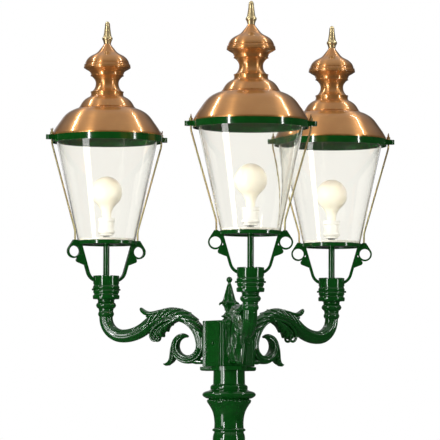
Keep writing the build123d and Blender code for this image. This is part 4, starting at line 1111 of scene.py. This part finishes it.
    def model(self) -> bpy.types.Object:
        """Build one arm: bar, leaves, neck and flange are cast into one skin.

        Returns:
            The arm along +X.
        """
        stations = self.line()
        base, wall, (width, thickness, height) = self.hub_level, self.wall, self.flange
        flange = block("flange", (wall + 0.2, -width / 2, base + 0.2),
                       (wall + thickness, width / 2, base + height), 2.0)
        web = block("web", (wall + 6, -11, base + 40), (91, 11, base + 104), 3.0)
        sections = ((68, 12, 6, 11), (86, 15, 7, 13), (106, 16, 8, 14), (128, 20, 7, 12))
        strap = self.blade("foot strap", sections)
        brow = self.leaf(BROW_LEAF, [self.brow_relief(stations, side) for side in (1, -1)])
        bar = swept("bar", stations, self.reeds, self.reeds * self.reed_sides, self.reed_valley)
        pieces = [bar, *brow, *self.leaf(BELLY_LEAF), *self.leaf(TAIL_LEAF), self.volute_relief(stations),
                  strap, self.neck(), self.spigot(), flange, web]
        return recast(joined("scroll_arm", pieces), self.cast_grain)

    def build(self, palette: "Palette") -> None:
        """Place a copy of the arm at each azimuth over its CAD node.

        Args:
            palette: Finishes by slot.
        """
        pattern = self.model()
        for side in Side:
            piece = placed(copied(pattern, f"arm_{side.tag}_casting"), turn=(0.0, 0.0, side.value))
            finished(piece, "post", palette.get("green_casting"), f"arm_{side.tag}")
        bpy.data.objects.remove(pattern)


# ------------------------------------------------------------------ small modelled details
def select_faces(piece: bpy.types.Object, chosen: Callable[[bmesh.types.BMFace], bool]) -> None:
    """Enter edit mode and select the faces that a test names.

    Args:
        piece: Object whose faces are looked at.
        chosen: Test on a face, by its place or normal.
    """
    only(piece)
    bpy.ops.object.mode_set(mode="EDIT")
    bpy.ops.mesh.select_mode(type="FACE")
    bpy.ops.mesh.select_all(action="DESELECT")
    mesh = bmesh.from_edit_mesh(piece.data)
    for face in mesh.faces:
        face.select_set(chosen(face))
    bmesh.update_edit_mesh(piece.data)


def ringed(name: str, radius: float, height: float, tube: float, squash: float) -> bpy.types.Object:
    """A rolled ring round the Z axis: a torus whose section is flattened into a hem.

    Args:
        name: Name of the object.
        radius: Radius of the ring's middle line in millimetres.
        height: Height of the middle line.
        tube: Radius of the section.
        squash: Height of the section over its width.

    Returns:
        The ring.
    """
    deselect()
    bpy.ops.mesh.primitive_torus_add(major_segments=96, minor_segments=14, major_radius=radius * MM,
                                     minor_radius=tube * MM, location=(0.0, 0.0, height * MM))
    piece = bpy.context.object
    piece.name = name
    return smooth(resized(settle(piece), (1.0, 1.0, squash), (0.0, 0.0, height * MM)), 60.0)


def spread_round(pattern: bpy.types.Object, name: str, count: int, start: float = 0.0) -> bpy.types.Object:
    """Copies of a piece set evenly round the Z axis and joined into one.

    Args:
        pattern: Piece in its first place; it is used up.
        name: Name of the joined piece.
        count: Number of copies.
        start: Azimuth in degrees of the first copy.

    Returns:
        The joined piece.
    """
    copies = [placed(copied(pattern, f"{name}_{index}"), turn=(0.0, 0.0, start + 360.0 / count * index))
              for index in range(count)]
    bpy.data.objects.remove(pattern)
    return joined(name, copies)


def thread(name: str, radius: float, foot: float, top: float, pitch: float, ridge: float) -> bpy.types.Object:
    """The raised helix of a screw thread round the Z axis.

    Args:
        name: Name of the object.
        radius: Radius of the helix.
        foot: Height of its start.
        top: Height of its end.
        pitch: Rise of one turn.
        ridge: Radius of the raised line.

    Returns:
        The thread.
    """
    per_turn, tip_share = 10, 0.3
    steps = round((top - foot) / pitch * per_turn)
    line = []
    for step in range(steps + 1):
        turn = math.tau * step / per_turn
        place = Vector((radius * math.cos(turn), radius * math.sin(turn), foot + (top - foot) * step / steps))
        turns_from_end = min(step, steps - step) / per_turn
        line.append((place, ridge * min(1.0, tip_share + turns_from_end)))
    return veins(name, [line])


def finished(piece: bpy.types.Object, body: str, paint: bpy.types.Material,
             stands_for: str | None = None) -> None:
    """Give a piece its finish and its body, hide the CAD node that it replaces, and report it.

    Args:
        piece: Finished piece.
        body: Body that it rides on.
        paint: Material that it gets.
        stands_for: CAD node that it replaces, if any.
    """
    piece.data.materials.clear()
    piece.data.materials.append(paint)
    if stands_for:
        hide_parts(stands_for)
    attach(piece, body)
    LOG.info("%s: %d faces, rides on %s", piece.name, len(piece.data.polygons), body)


# ------------------------------------------------------------------ post
@dataclass
class Post:
    """Foot, shaft and capital, with the row of pearls that the founder cast under the capital's disc."""

    nodes: tuple[str, ...] = ("post_foot", "foot_cap", "post_shaft", "post_capital", "ledge_plate")
    capital_level: float = 1456.0
    pearl_rise: float = 91.0
    pearl_circle: float = 62.4
    pearl_radius: float = 3.9
    pearl_stretch: tuple[float, float, float] = (1.0, 1.1, 1.2)
    pearl_count: int = 36

    def pearls(self) -> bpy.types.Object:
        """Row of pearls, each a small ball drawn a little taller than wide.

        Returns:
            The pearls as one piece.
        """
        deselect()
        place = (self.pearl_circle * MM, 0.0, (self.capital_level + self.pearl_rise) * MM)
        bpy.ops.mesh.primitive_uv_sphere_add(segments=14, ring_count=9, radius=self.pearl_radius * MM,
                                             location=place)
        pearl = resized(settle(bpy.context.object), self.pearl_stretch, place)
        return smooth(spread_round(pearl, "capital_pearls", self.pearl_count), 60.0)

    def build(self, frame: dict, palette: "Palette") -> None:
        """Dress the castings and add the pearls.

        Args:
            frame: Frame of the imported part.
            palette: Finishes by slot.
        """
        palette.dress(frame, self.nodes)
        finished(self.pearls(), "post", palette.get("green_paint"))


# ------------------------------------------------------------------ hub
@dataclass
class Hub:
    """Hexagonal housing with cover plates, slotted screws and the spire on its roof."""

    nodes: tuple[str, ...] = ("arm_bolts",)
    level: float = 1649.0
    sides: int = 6
    apothem: float = 62.0
    height: float = 137.0
    wall: float = 9.0
    roof: float = 10.0
    edge_round: float = 2.2
    cover: tuple[float, float, float] = (61.6, 127.0, 2.5)
    cover_rim: float = 4.0
    cover_recess: float = 0.9
    cover_round: float = 0.7
    cover_count: int = 3
    first_cover: float = -30.0
    screw_head: tuple[float, float] = (6.5, 4.5)
    screw_slot: tuple[float, float] = (1.6, 1.7)
    screw_turn: float = 20.0
    screw_sink: float = 1.0
    spire_height: float = 132.0
    spire_ball: float = 9.0
    spire_leaves: int = 6
    spire_grain: float = 0.8

    def housing(self) -> bpy.types.Object:
        """Six-sided housing, open below, its edges rounded as cast.

        Returns:
            The housing.
        """
        deselect()
        half_side = math.pi / self.sides
        bpy.ops.mesh.primitive_cylinder_add(
            vertices=self.sides, radius=self.apothem / math.cos(half_side) * MM, depth=self.height * MM,
            location=(0.0, 0.0, (self.level + self.height / 2) * MM), rotation=(0.0, 0.0, half_side))
        piece = settle(bpy.context.object)
        piece.name = "hub_housing"
        select_faces(piece, lambda face: face.normal.z < -0.9)
        bpy.ops.mesh.inset(thickness=self.wall * MM, depth=0.0)
        bpy.ops.mesh.extrude_region_move(
            TRANSFORM_OT_translate={"value": (0.0, 0.0, (self.height - self.roof) * MM)})
        close_mesh()
        apply_modifier(piece, "BEVEL", width=self.edge_round * MM, segments=4, limit_method="ANGLE")
        return smooth(piece, 40.0)

    def covers(self) -> bpy.types.Object:
        """Cover plates on the three open faces, each with a raised rim.

        Returns:
            The plates as one piece.
        """
        width, height, thick = self.cover
        deselect()
        bpy.ops.mesh.primitive_cube_add(size=1.0, location=(
            (self.apothem + thick / 2) * MM, 0.0, (self.level + self.height / 2) * MM))
        plate = bpy.context.object
        plate.scale = (thick * MM, width * MM, height * MM)
        settle(plate)
        select_faces(plate, lambda face: face.normal.x > 0.9)
        bpy.ops.mesh.inset(thickness=self.cover_rim * MM, depth=0.0)
        bpy.ops.mesh.extrude_region_move(
            TRANSFORM_OT_translate={"value": (-self.cover_recess * MM, 0.0, 0.0)})
        bpy.ops.object.mode_set(mode="OBJECT")
        apply_modifier(plate, "BEVEL", width=self.cover_round * MM, segments=3, limit_method="ANGLE")
        return smooth(spread_round(plate, "hub_cover_plates", self.cover_count, self.first_cover), 40.0)

    def screws(self) -> bpy.types.Object:
        """Round-head screws with a slot, one in each cover.

        Returns:
            The screws as one piece.
        """
        radius, height = self.screw_head
        head = [(radius, 0.0), (radius, height * 0.3), (radius * 0.9, height * 0.62),
                (radius * 0.66, height * 0.86), (radius * 0.3, height)]
        screw = turned("screw", head, 0.0, 32)
        width, depth = self.screw_slot
        slot = block("slot", (-radius * 1.2, -width / 2, height - depth),
                     (radius * 1.2, width / 2, height + 2.0), 0.1)
        apply_modifier(screw, "BOOLEAN", object=slot, operation="DIFFERENCE", solver="EXACT")
        bpy.data.objects.remove(slot)
        out = self.apothem + self.cover[2] - self.screw_sink
        placed(screw, (out, 0.0, self.level + self.height / 2), (self.screw_turn, 90.0, 0.0))
        return smooth(spread_round(screw, "hub_cover_screws", self.cover_count, self.first_cover), 40.0)

    def spire(self) -> bpy.types.Object:
        """Spire: turned foot, ribbed cone, leaf tips that hook down from its skirt, and a ball.

        Returns:
            The spire.
        """
        top, ball = self.spire_height, self.spire_ball
        base = self.level + self.height
        spans = [
            [(21, 0.2), (21, 4), (15, 8)], [(15, 8), (24.5, 13.5), (18, 18)], [(18, 18), (11, 28), (11, 40)],
            [(11, 40), (14, 47), (21, 53), (17, 57)], [(17, 57), (13, 76), (8, 96), (4.5, top - 2 * ball)],
            [(4.5, top - 2 * ball), (4.2, top - ball)]]
        body = turned("spire", outline(spans), base, 48)
        deselect()
        bpy.ops.mesh.primitive_uv_sphere_add(segments=28, ring_count=18, radius=ball * MM,
                                             location=(0.0, 0.0, (base + top - ball) * MM))
        knob = settle(bpy.context.object)
        hooked = ((5.4, 108, 1.0), (8.6, 95, 1.6), (13.4, 75, 2.2), (17.0, 60, 2.8), (22.0, 54, 3.6),
                  (27.0, 52, 3.6), (29.4, 48.5, 2.6), (29.6, 46, 1.6))
        stem = ((12.5, 30, 1.4), (12.6, 38, 2.0), (16, 46, 2.4), (21, 52, 2.4))
        ribs = []
        for index in range(self.spire_leaves):
            turn = Matrix.Rotation(math.radians(360.0 / self.spire_leaves * index), 3, "Z")
            ribs += [[(turn @ Vector((radius, 0.0, base + rise)), thick) for radius, rise, thick in line]
                     for line in (hooked, stem)]
        return recast(joined("hub_spire_casting", [body, knob, veins("ribs", ribs)]), self.spire_grain)

    def build(self, frame: dict, palette: "Palette") -> None:
        """Model the housing, covers, screws and spire, and dress what stays.

        Args:
            frame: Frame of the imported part.
            palette: Finishes by slot.
        """
        palette.dress(frame, self.nodes)
        paint = palette.get("green_paint")
        for piece, node in ((self.housing(), "hub_box"), (self.covers(), "hub_covers"),
                            (self.screws(), "cover_screws"), (self.spire(), "hub_spire")):
            finished(piece, "post", paint, node)


# ------------------------------------------------------------------ lanterns
@dataclass
class Lantern:
    """Round lantern on its arm: the details of its collar, hood and rods are modelled once and copied."""

    parts: tuple[str, ...] = (
        "socket", "cage_frame", "glass", "tie_rods", "lamp_holder", "lamp_cap", "lamp_globe", "wing_nut_a",
        "wing_nut_b", "hood_ring", "hood", "chimney", "hood_cap", "finial")
    shared: tuple[str, ...] = ("set_screws", "glass_gaskets", "lamp_stems", "base_plates", "stem_nuts")
    turns: tuple[float, float, float] = (-8.0, -8.0, 10.0)
    level: float = 1856.0
    reach: float = 400.0
    collar_top: float = 68.0
    collar_radius: float = 39.5
    collar_teeth: int = 18
    tooth: tuple[float, float, float] = (6.2, 8.4, 4.1)
    tooth_rise: float = 2.6
    hood_level: float = 494.3
    hood_radius: float = 166.5
    chimney_rise: float = 86.0
    cap_rise: float = 208.0
    finial_rise: float = 281.0
    rod_reach: float = 173.5
    nut_lift: float = 0.2
    rod_radius: float = 2.75
    rod_proud: float = 15.0
    thread_pitch: float = 1.25
    thread_ridge: float = 0.42

    def seat(self, pattern: bpy.types.Object, name: str, side: Side, turn: float) -> bpy.types.Object:
        """Copy a pattern to the lantern of one side, turned by degrees about its own axis."""
        piece = copied(pattern, f"{name}_{side.tag}")
        return placed(piece, (*side.out(self.reach), self.level), (0.0, 0.0, turn))

    def collar_crown(self) -> bpy.types.Object:
        """Low teeth round the top edge of the cage's collar.

        Returns:
            The teeth as one piece.
        """
        thick, width, height = self.tooth
        outer, top = self.collar_radius - 0.3, self.collar_top + self.tooth_rise
        tooth = block("tooth", (outer - thick, -width / 2, top - height), (outer, width / 2, top), 0.8)
        return smooth(spread_round(tooth, "collar_crown", self.collar_teeth), 40.0)

    def hems(self) -> bpy.types.Object:
        """Rolled hems and soldered seams of the hood, the chimney and the cap.

        Returns:
            The rings as one piece.
        """
        hood, chimney, cap = (self.hood_level + rise for rise in (0.0, self.chimney_rise, self.cap_rise))
        rings = (
            (self.hood_radius - 1.1, hood + 1.5, 1.5, 0.9), (84.6, chimney + 0.4, 1.8, 0.7),
            (49.4, chimney + 36.6, 1.4, 0.8), (49.4, chimney + 48.4, 1.4, 0.8),
            (49.6, chimney + 98.0, 1.3, 0.8), (50.2, chimney + 106.2, 1.3, 0.8),
            (69.6, cap + 0.6, 1.8, 0.9), (68.9, cap + 9.4, 1.2, 0.8), (65.9, cap + 15.2, 1.1, 0.8))
        return smooth(joined("hood_hems", [ringed("hem", *ring) for ring in rings]), 60.0)

    def rod_threads(self) -> bpy.types.Object:
        """Screw thread on the ends of both tie rods, where the wing nuts run.

        Returns:
            Both threads as one piece.
        """
        ends = [placed(thread("thread", self.rod_radius - 0.15, self.hood_level + 9.4,
                              self.hood_level + self.rod_proud - 0.4, self.thread_pitch, self.thread_ridge),
                       (way * self.rod_reach, 0.0, 0.0)) for way in (1, -1)]
        return joined("rod_threads", ends)

    def finial(self) -> bpy.types.Object:
        """Brass finial: a cup, a full bead, and a smooth spindle with a rounded tip.

        Returns:
            The finial.
        """
        spans = [[(10.4, 0), (12.2, 6), (12.9, 9)], [(12.9, 9), (16.1, 15.5), (15.2, 19.5), (12.6, 22.5)],
                 [(12.6, 22.5), (11, 31), (9.4, 42), (8.2, 52), (7.6, 60), (5.6, 65.5), (3.2, 68), (0.8, 69)]]
        return smooth(turned("finial", outline(spans), self.hood_level + self.finial_rise, 64), 40.0)

    def wing_nut(self, way: int) -> bpy.types.Object:
        """Wing nut on one rod: a conical hub and two ears that curl up and apart.

        Args:
            way: 1 for the rod on the lantern's +X side, -1 for the other one.

        Returns:
            The nut in its place in the lantern.
        """
        hub = turned("hub", [(6.3, 0.0), (6.3, 1.2), (5.9, 2.2), (5.5, 7.6), (4.9, 8.9)], 0.0, 32)
        sections = ((2.5, 4.6, 2.6, 1.7), (4.4, 8.0, 2.8, 1.5), (6.2, 12.0, 3.0, 1.4), (8.0, 15.6, 3.2, 1.5),
                    (9.3, 18.2, 2.4, 1.4), (9.9, 19.8, 0.8, 0.6))
        ear = swept("ear", [Station(*section) for section in sections])
        nut = joined("wing_nut", [hub, spread_round(ear, "ears", 2)])
        place = (way * self.rod_reach, 0.0, self.hood_level + self.nut_lift)
        return smooth(placed(nut, place, (0.0, 0.0, 90.0)), 50.0)

    def build(self, frame: dict, palette: "Palette") -> None:
        """Dress the lanterns' nodes and copy the modelled details to each of them.

        Args:
            frame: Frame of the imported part.
            palette: Finishes by slot.
        """
        palette.dress(frame, self.shared)
        patterns = [
            (self.collar_crown(), "post", "green_paint", None),
            (self.rod_threads(), "post", "aged_brass", None),
            (self.hems(), "hood_{}_group", "copper", None),
            (self.finial(), "hood_{}_group", "yellow_brass", "finial_{}"),
            (self.wing_nut(1), "nut_a_{}", "aged_brass", "wing_nut_a_{}"),
            (self.wing_nut(-1), "nut_b_{}", "aged_brass", "wing_nut_b_{}")]
        for side, turn in zip(Side, self.turns):
            palette.dress(frame, [f"{part}_{side.tag}" for part in self.parts], side)
            frame["nodes"][f"glass_{side.tag}"].visible_shadow = False
            for pattern, body, slot, node in patterns:
                name = node.format("turned") if node else pattern.name
                piece = self.seat(pattern, name, side, turn)
                finished(piece, body.format(side.tag), palette.get(slot, side),
                         node.format(side.tag) if node else None)
        for pattern, *_ in patterns:
            bpy.data.objects.remove(pattern)


# ------------------------------------------------------------------ palette
@dataclass
class Palette:
    """Finishes by material slot, each made once, or once for each lantern where it is spun round its axis."""

    finishes: dict[str, Finish]
    round_each_lantern: tuple[str, ...] = ("copper", "yellow_brass", "aged_brass")
    slots: dict[str, str] = field(default_factory=dict)
    made: dict[str, bpy.types.Material] = field(default_factory=dict)

    def get(self, slot: str, side: Side | None = None) -> bpy.types.Material:
        """The material of a slot.

        Args:
            slot: Material slot of the record.
            side: Arm whose lantern it dresses, for metals that are spun round the lantern's axis.

        Returns:
            The material.
        """
        finish, key = self.finishes[slot], slot
        if side and slot in self.round_each_lantern:
            key = f"{slot}_{side.tag}"
            finish = replace(finish, name=f"{finish.name} {side.tag}", axis=side.out(Lantern.reach * MM))
        if key not in self.made:
            self.made[key] = finish.build()
        return self.made[key]

    def dress(self, frame: dict, nodes: Iterable[str], side: Side | None = None) -> None:
        """Give CAD nodes the materials of their slots.

        Args:
            frame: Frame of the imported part.
            nodes: Names of the nodes.
            side: Arm whose lantern they belong to.
        """
        for node in nodes:
            piece = frame["nodes"][node]
            piece.data.materials.clear()
            piece.data.materials.append(self.get(self.slots[node], side))
            LOG.info("%s dressed in %s", node, self.slots[node])


# ------------------------------------------------------------------ the studio
@dataclass(frozen=True)
class Strip:
    """A strip lamp between two ends: its width in metres and its radiance."""

    name: str
    low: tuple[float, float, float]
    high: tuple[float, float, float]
    width: float
    radiance: float


@dataclass
class Studio:
    """Pale floor, soft light and the camera at the photograph's angle."""

    azimuth: float = -8.754
    distance: float = 11.493
    eye_level: float = 1.3785
    pitch: float = 3.5316
    pan: float = 0.1426
    roll: float = 0.186
    focal_px: float = 3848.6
    frame_px: int = 440
    sensor_mm: float = 36.0
    far_away: float = 400.0
    room_light: float = 0.3
    room_glow: float = 0.045
    aim_level: float = 2.2
    floor_level: float = -0.0005
    floor_seen: tuple[float, float, float] = (0.86, 0.86, 0.85)
    floor_mirrored: tuple[float, float, float] = (0.05, 0.05, 0.05)
    strips: tuple[Strip, ...] = (
        Strip("key", (-3.6, -3.2, 1.2), (-3.6, -3.2, 4.4), 0.26, 34.0),
        Strip("fill", (3.9, -3.1, 1.4), (3.9, -3.1, 4.2), 0.2, 30.0),
        Strip("hood streak left", (-3.96, 0.1, 4.5), (-2.25, 2.0, 5.9), 0.12, 34.0),
        Strip("hood streak right", (3.7, -0.95, 4.8), (2.1, 1.4, 6.2), 0.08, 36.0),
        Strip("window", (-3.15, -1.6, 0.1), (-3.15, -1.6, 1.9), 1.0, 5.5))

    def build(self) -> None:
        """Set the floor, the world, the lamps and the camera."""
        self.set_floor()
        self.set_world()
        self.set_lamps()
        self.set_camera()
        bpy.context.scene.view_settings.view_transform = "Standard"
        LOG.info("studio set")

    def set_floor(self) -> None:
        """Add the plain pale floor, which is dark only where the glossy pieces mirror it."""
        deselect()
        bpy.ops.mesh.primitive_plane_add(size=self.far_away, location=(0.0, 0.0, self.floor_level))
        floor = settle(bpy.context.object)
        floor.name = "studio_floor"
        material = bpy.data.materials.new("pale floor")
        material.use_nodes = True
        tree = material.node_tree
        mirrored = add_node(tree, "ShaderNodeLightPath").outputs["Is Glossy Ray"]
        colour = blended(tree, mirrored, opaque(self.floor_seen), opaque(self.floor_mirrored))
        feed(tree.nodes["Principled BSDF"], {"Roughness": 0.7, "Base Color": colour})
        floor.data.materials.append(material)

    def set_world(self) -> None:
        """Set a white backdrop behind the object and a soft room that gives light and dim reflections."""
        world = bpy.data.worlds.new("pale studio")
        bpy.context.scene.world = world
        world.use_nodes = True
        tree = world.node_tree
        tree.nodes.clear()
        paths = add_node(tree, "ShaderNodeLightPath").outputs
        where = add_node(tree, "ShaderNodeTexCoord").outputs["Generated"]
        _, back, up = add_node(tree, "ShaderNodeSeparateXYZ", {0: where}).outputs
        behind = spread(tree, back, 0.86, 0.98, self.room_glow, 0.5)
        overhead = spread(tree, up, 0.3, 0.85, 0.0, 0.6)
        glossy = math_node(tree, "MAXIMUM", behind, overhead)
        bounces = math_node(tree, "ADD", paths["Glossy Depth"], paths["Diffuse Depth"])
        onward = math_node(tree, "GREATER_THAN", back, 0.1)
        straight = math_node(tree, "MAXIMUM", math_node(tree, "LESS_THAN", bounces, 0.5), onward)
        through = math_node(tree, "MULTIPLY", paths["Is Transmission Ray"], straight)
        seen = math_node(tree, "MAXIMUM", paths["Is Camera Ray"], through)
        level = self.room_light
        for factor, other in ((paths["Is Glossy Ray"], glossy), (seen, 1.0)):
            mixed = add_node(tree, "ShaderNodeMix", {0: factor, 2: level, 3: other}, data_type="FLOAT")
            level = mixed.outputs[0]
        backdrop = add_node(tree, "ShaderNodeBackground", {"Color": (1.0, 1.0, 1.0, 1.0), "Strength": level})
        add_node(tree, "ShaderNodeOutputWorld", {"Surface": backdrop.outputs[0]})

    def set_lamps(self) -> None:
        """Hang strip lamps: two upright ones beside the camera, two slanting over the hoods, one window."""
        for strip in self.strips:
            low, high = Vector(strip.low), Vector(strip.high)
            middle, along = (low + high) / 2, (high - low).normalized()
            away = middle - Vector((0.0, 0.0, self.aim_level))
            away = (away - along * away.dot(along)).normalized()
            lamp = bpy.data.lights.new(strip.name, "AREA")
            lamp.shape = "RECTANGLE"
            lamp.size, lamp.size_y = strip.width, (high - low).length
            lamp.energy = strip.radiance * math.pi * lamp.size * lamp.size_y
            stand = bpy.data.objects.new(strip.name, lamp)
            facing = Matrix((along.cross(away), along, away)).transposed().to_4x4()
            stand.matrix_world = Matrix.Translation(middle) @ facing
            bpy.context.scene.collection.objects.link(stand)

    def set_camera(self) -> None:
        """Stand the camera where the photograph was taken, a little below the capital."""
        turn = math.radians(self.azimuth)
        camera = bpy.data.cameras.new("camera")
        camera.sensor_width = self.sensor_mm
        camera.lens = self.focal_px / self.frame_px * self.sensor_mm
        camera.clip_end = self.far_away
        stand = bpy.data.objects.new("camera", camera)
        place = Matrix.Translation((self.distance * math.sin(turn), -self.distance * math.cos(turn),
                                    self.eye_level))
        aim = (Matrix.Rotation(math.radians(self.azimuth + self.pan), 4, "Z")
               @ Matrix.Rotation(math.radians(90.0 + self.pitch), 4, "X")
               @ Matrix.Rotation(math.radians(self.roll), 4, "Z"))
        stand.matrix_world = place @ aim
        bpy.context.scene.collection.objects.link(stand)
        bpy.context.scene.camera = stand


def main() -> None:
    """Build the studio and the lamp post, and report each piece."""
    logging.basicConfig(level=logging.INFO, format="%(name)s: %(message)s")
    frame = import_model()
    Studio().build()
    green = GlossPaint("deep green paint", (0.002, 0.060, 0.005), 0.11)
    finishes = {
        "green_paint": green,
        "green_casting": replace(green, name="deep green paint on carving", hollows=True, coat=0.75),
        "copper": SpunMetal("spun copper", (0.74, 0.35, 0.105), 0.36, 0.8, tarnish=(0.60, 0.25, 0.07),
                            brushing=0.9, lacquer=1.0),
        "yellow_brass": SpunMetal("yellow brass", (0.86, 0.68, 0.36), 0.28, 0.85),
        "aged_brass": SpunMetal("dull brass", (0.42, 0.37, 0.18), 0.38, 1.0, brushing=0.0),
        "clear_glass": ShadeGlass("shade glass", (1.0, 0.988, 0.95), 0.015),
        "opal_glass": MilkGlass("opal glass", (0.95, 0.885, 0.735), 0.16),
        "porcelain": Porcelain("porcelain", (0.92, 0.9, 0.82), 0.2),
        "steel": Finish("steel", (0.5, 0.5, 0.5), 0.35, 1.0),
        "gasket": GasketRubber("gasket", (0.82, 0.79, 0.7), 0.6),
    }
    slots = {part["node"]: part["material_slot"] for part in frame["record"]["subparts"]}
    palette = Palette(finishes, slots=slots)
    Post().build(frame, palette)
    Hub().build(frame, palette)
    ScrollArm().build(palette)
    Lantern().build(frame, palette)


if __name__ == "__main__":
    main()
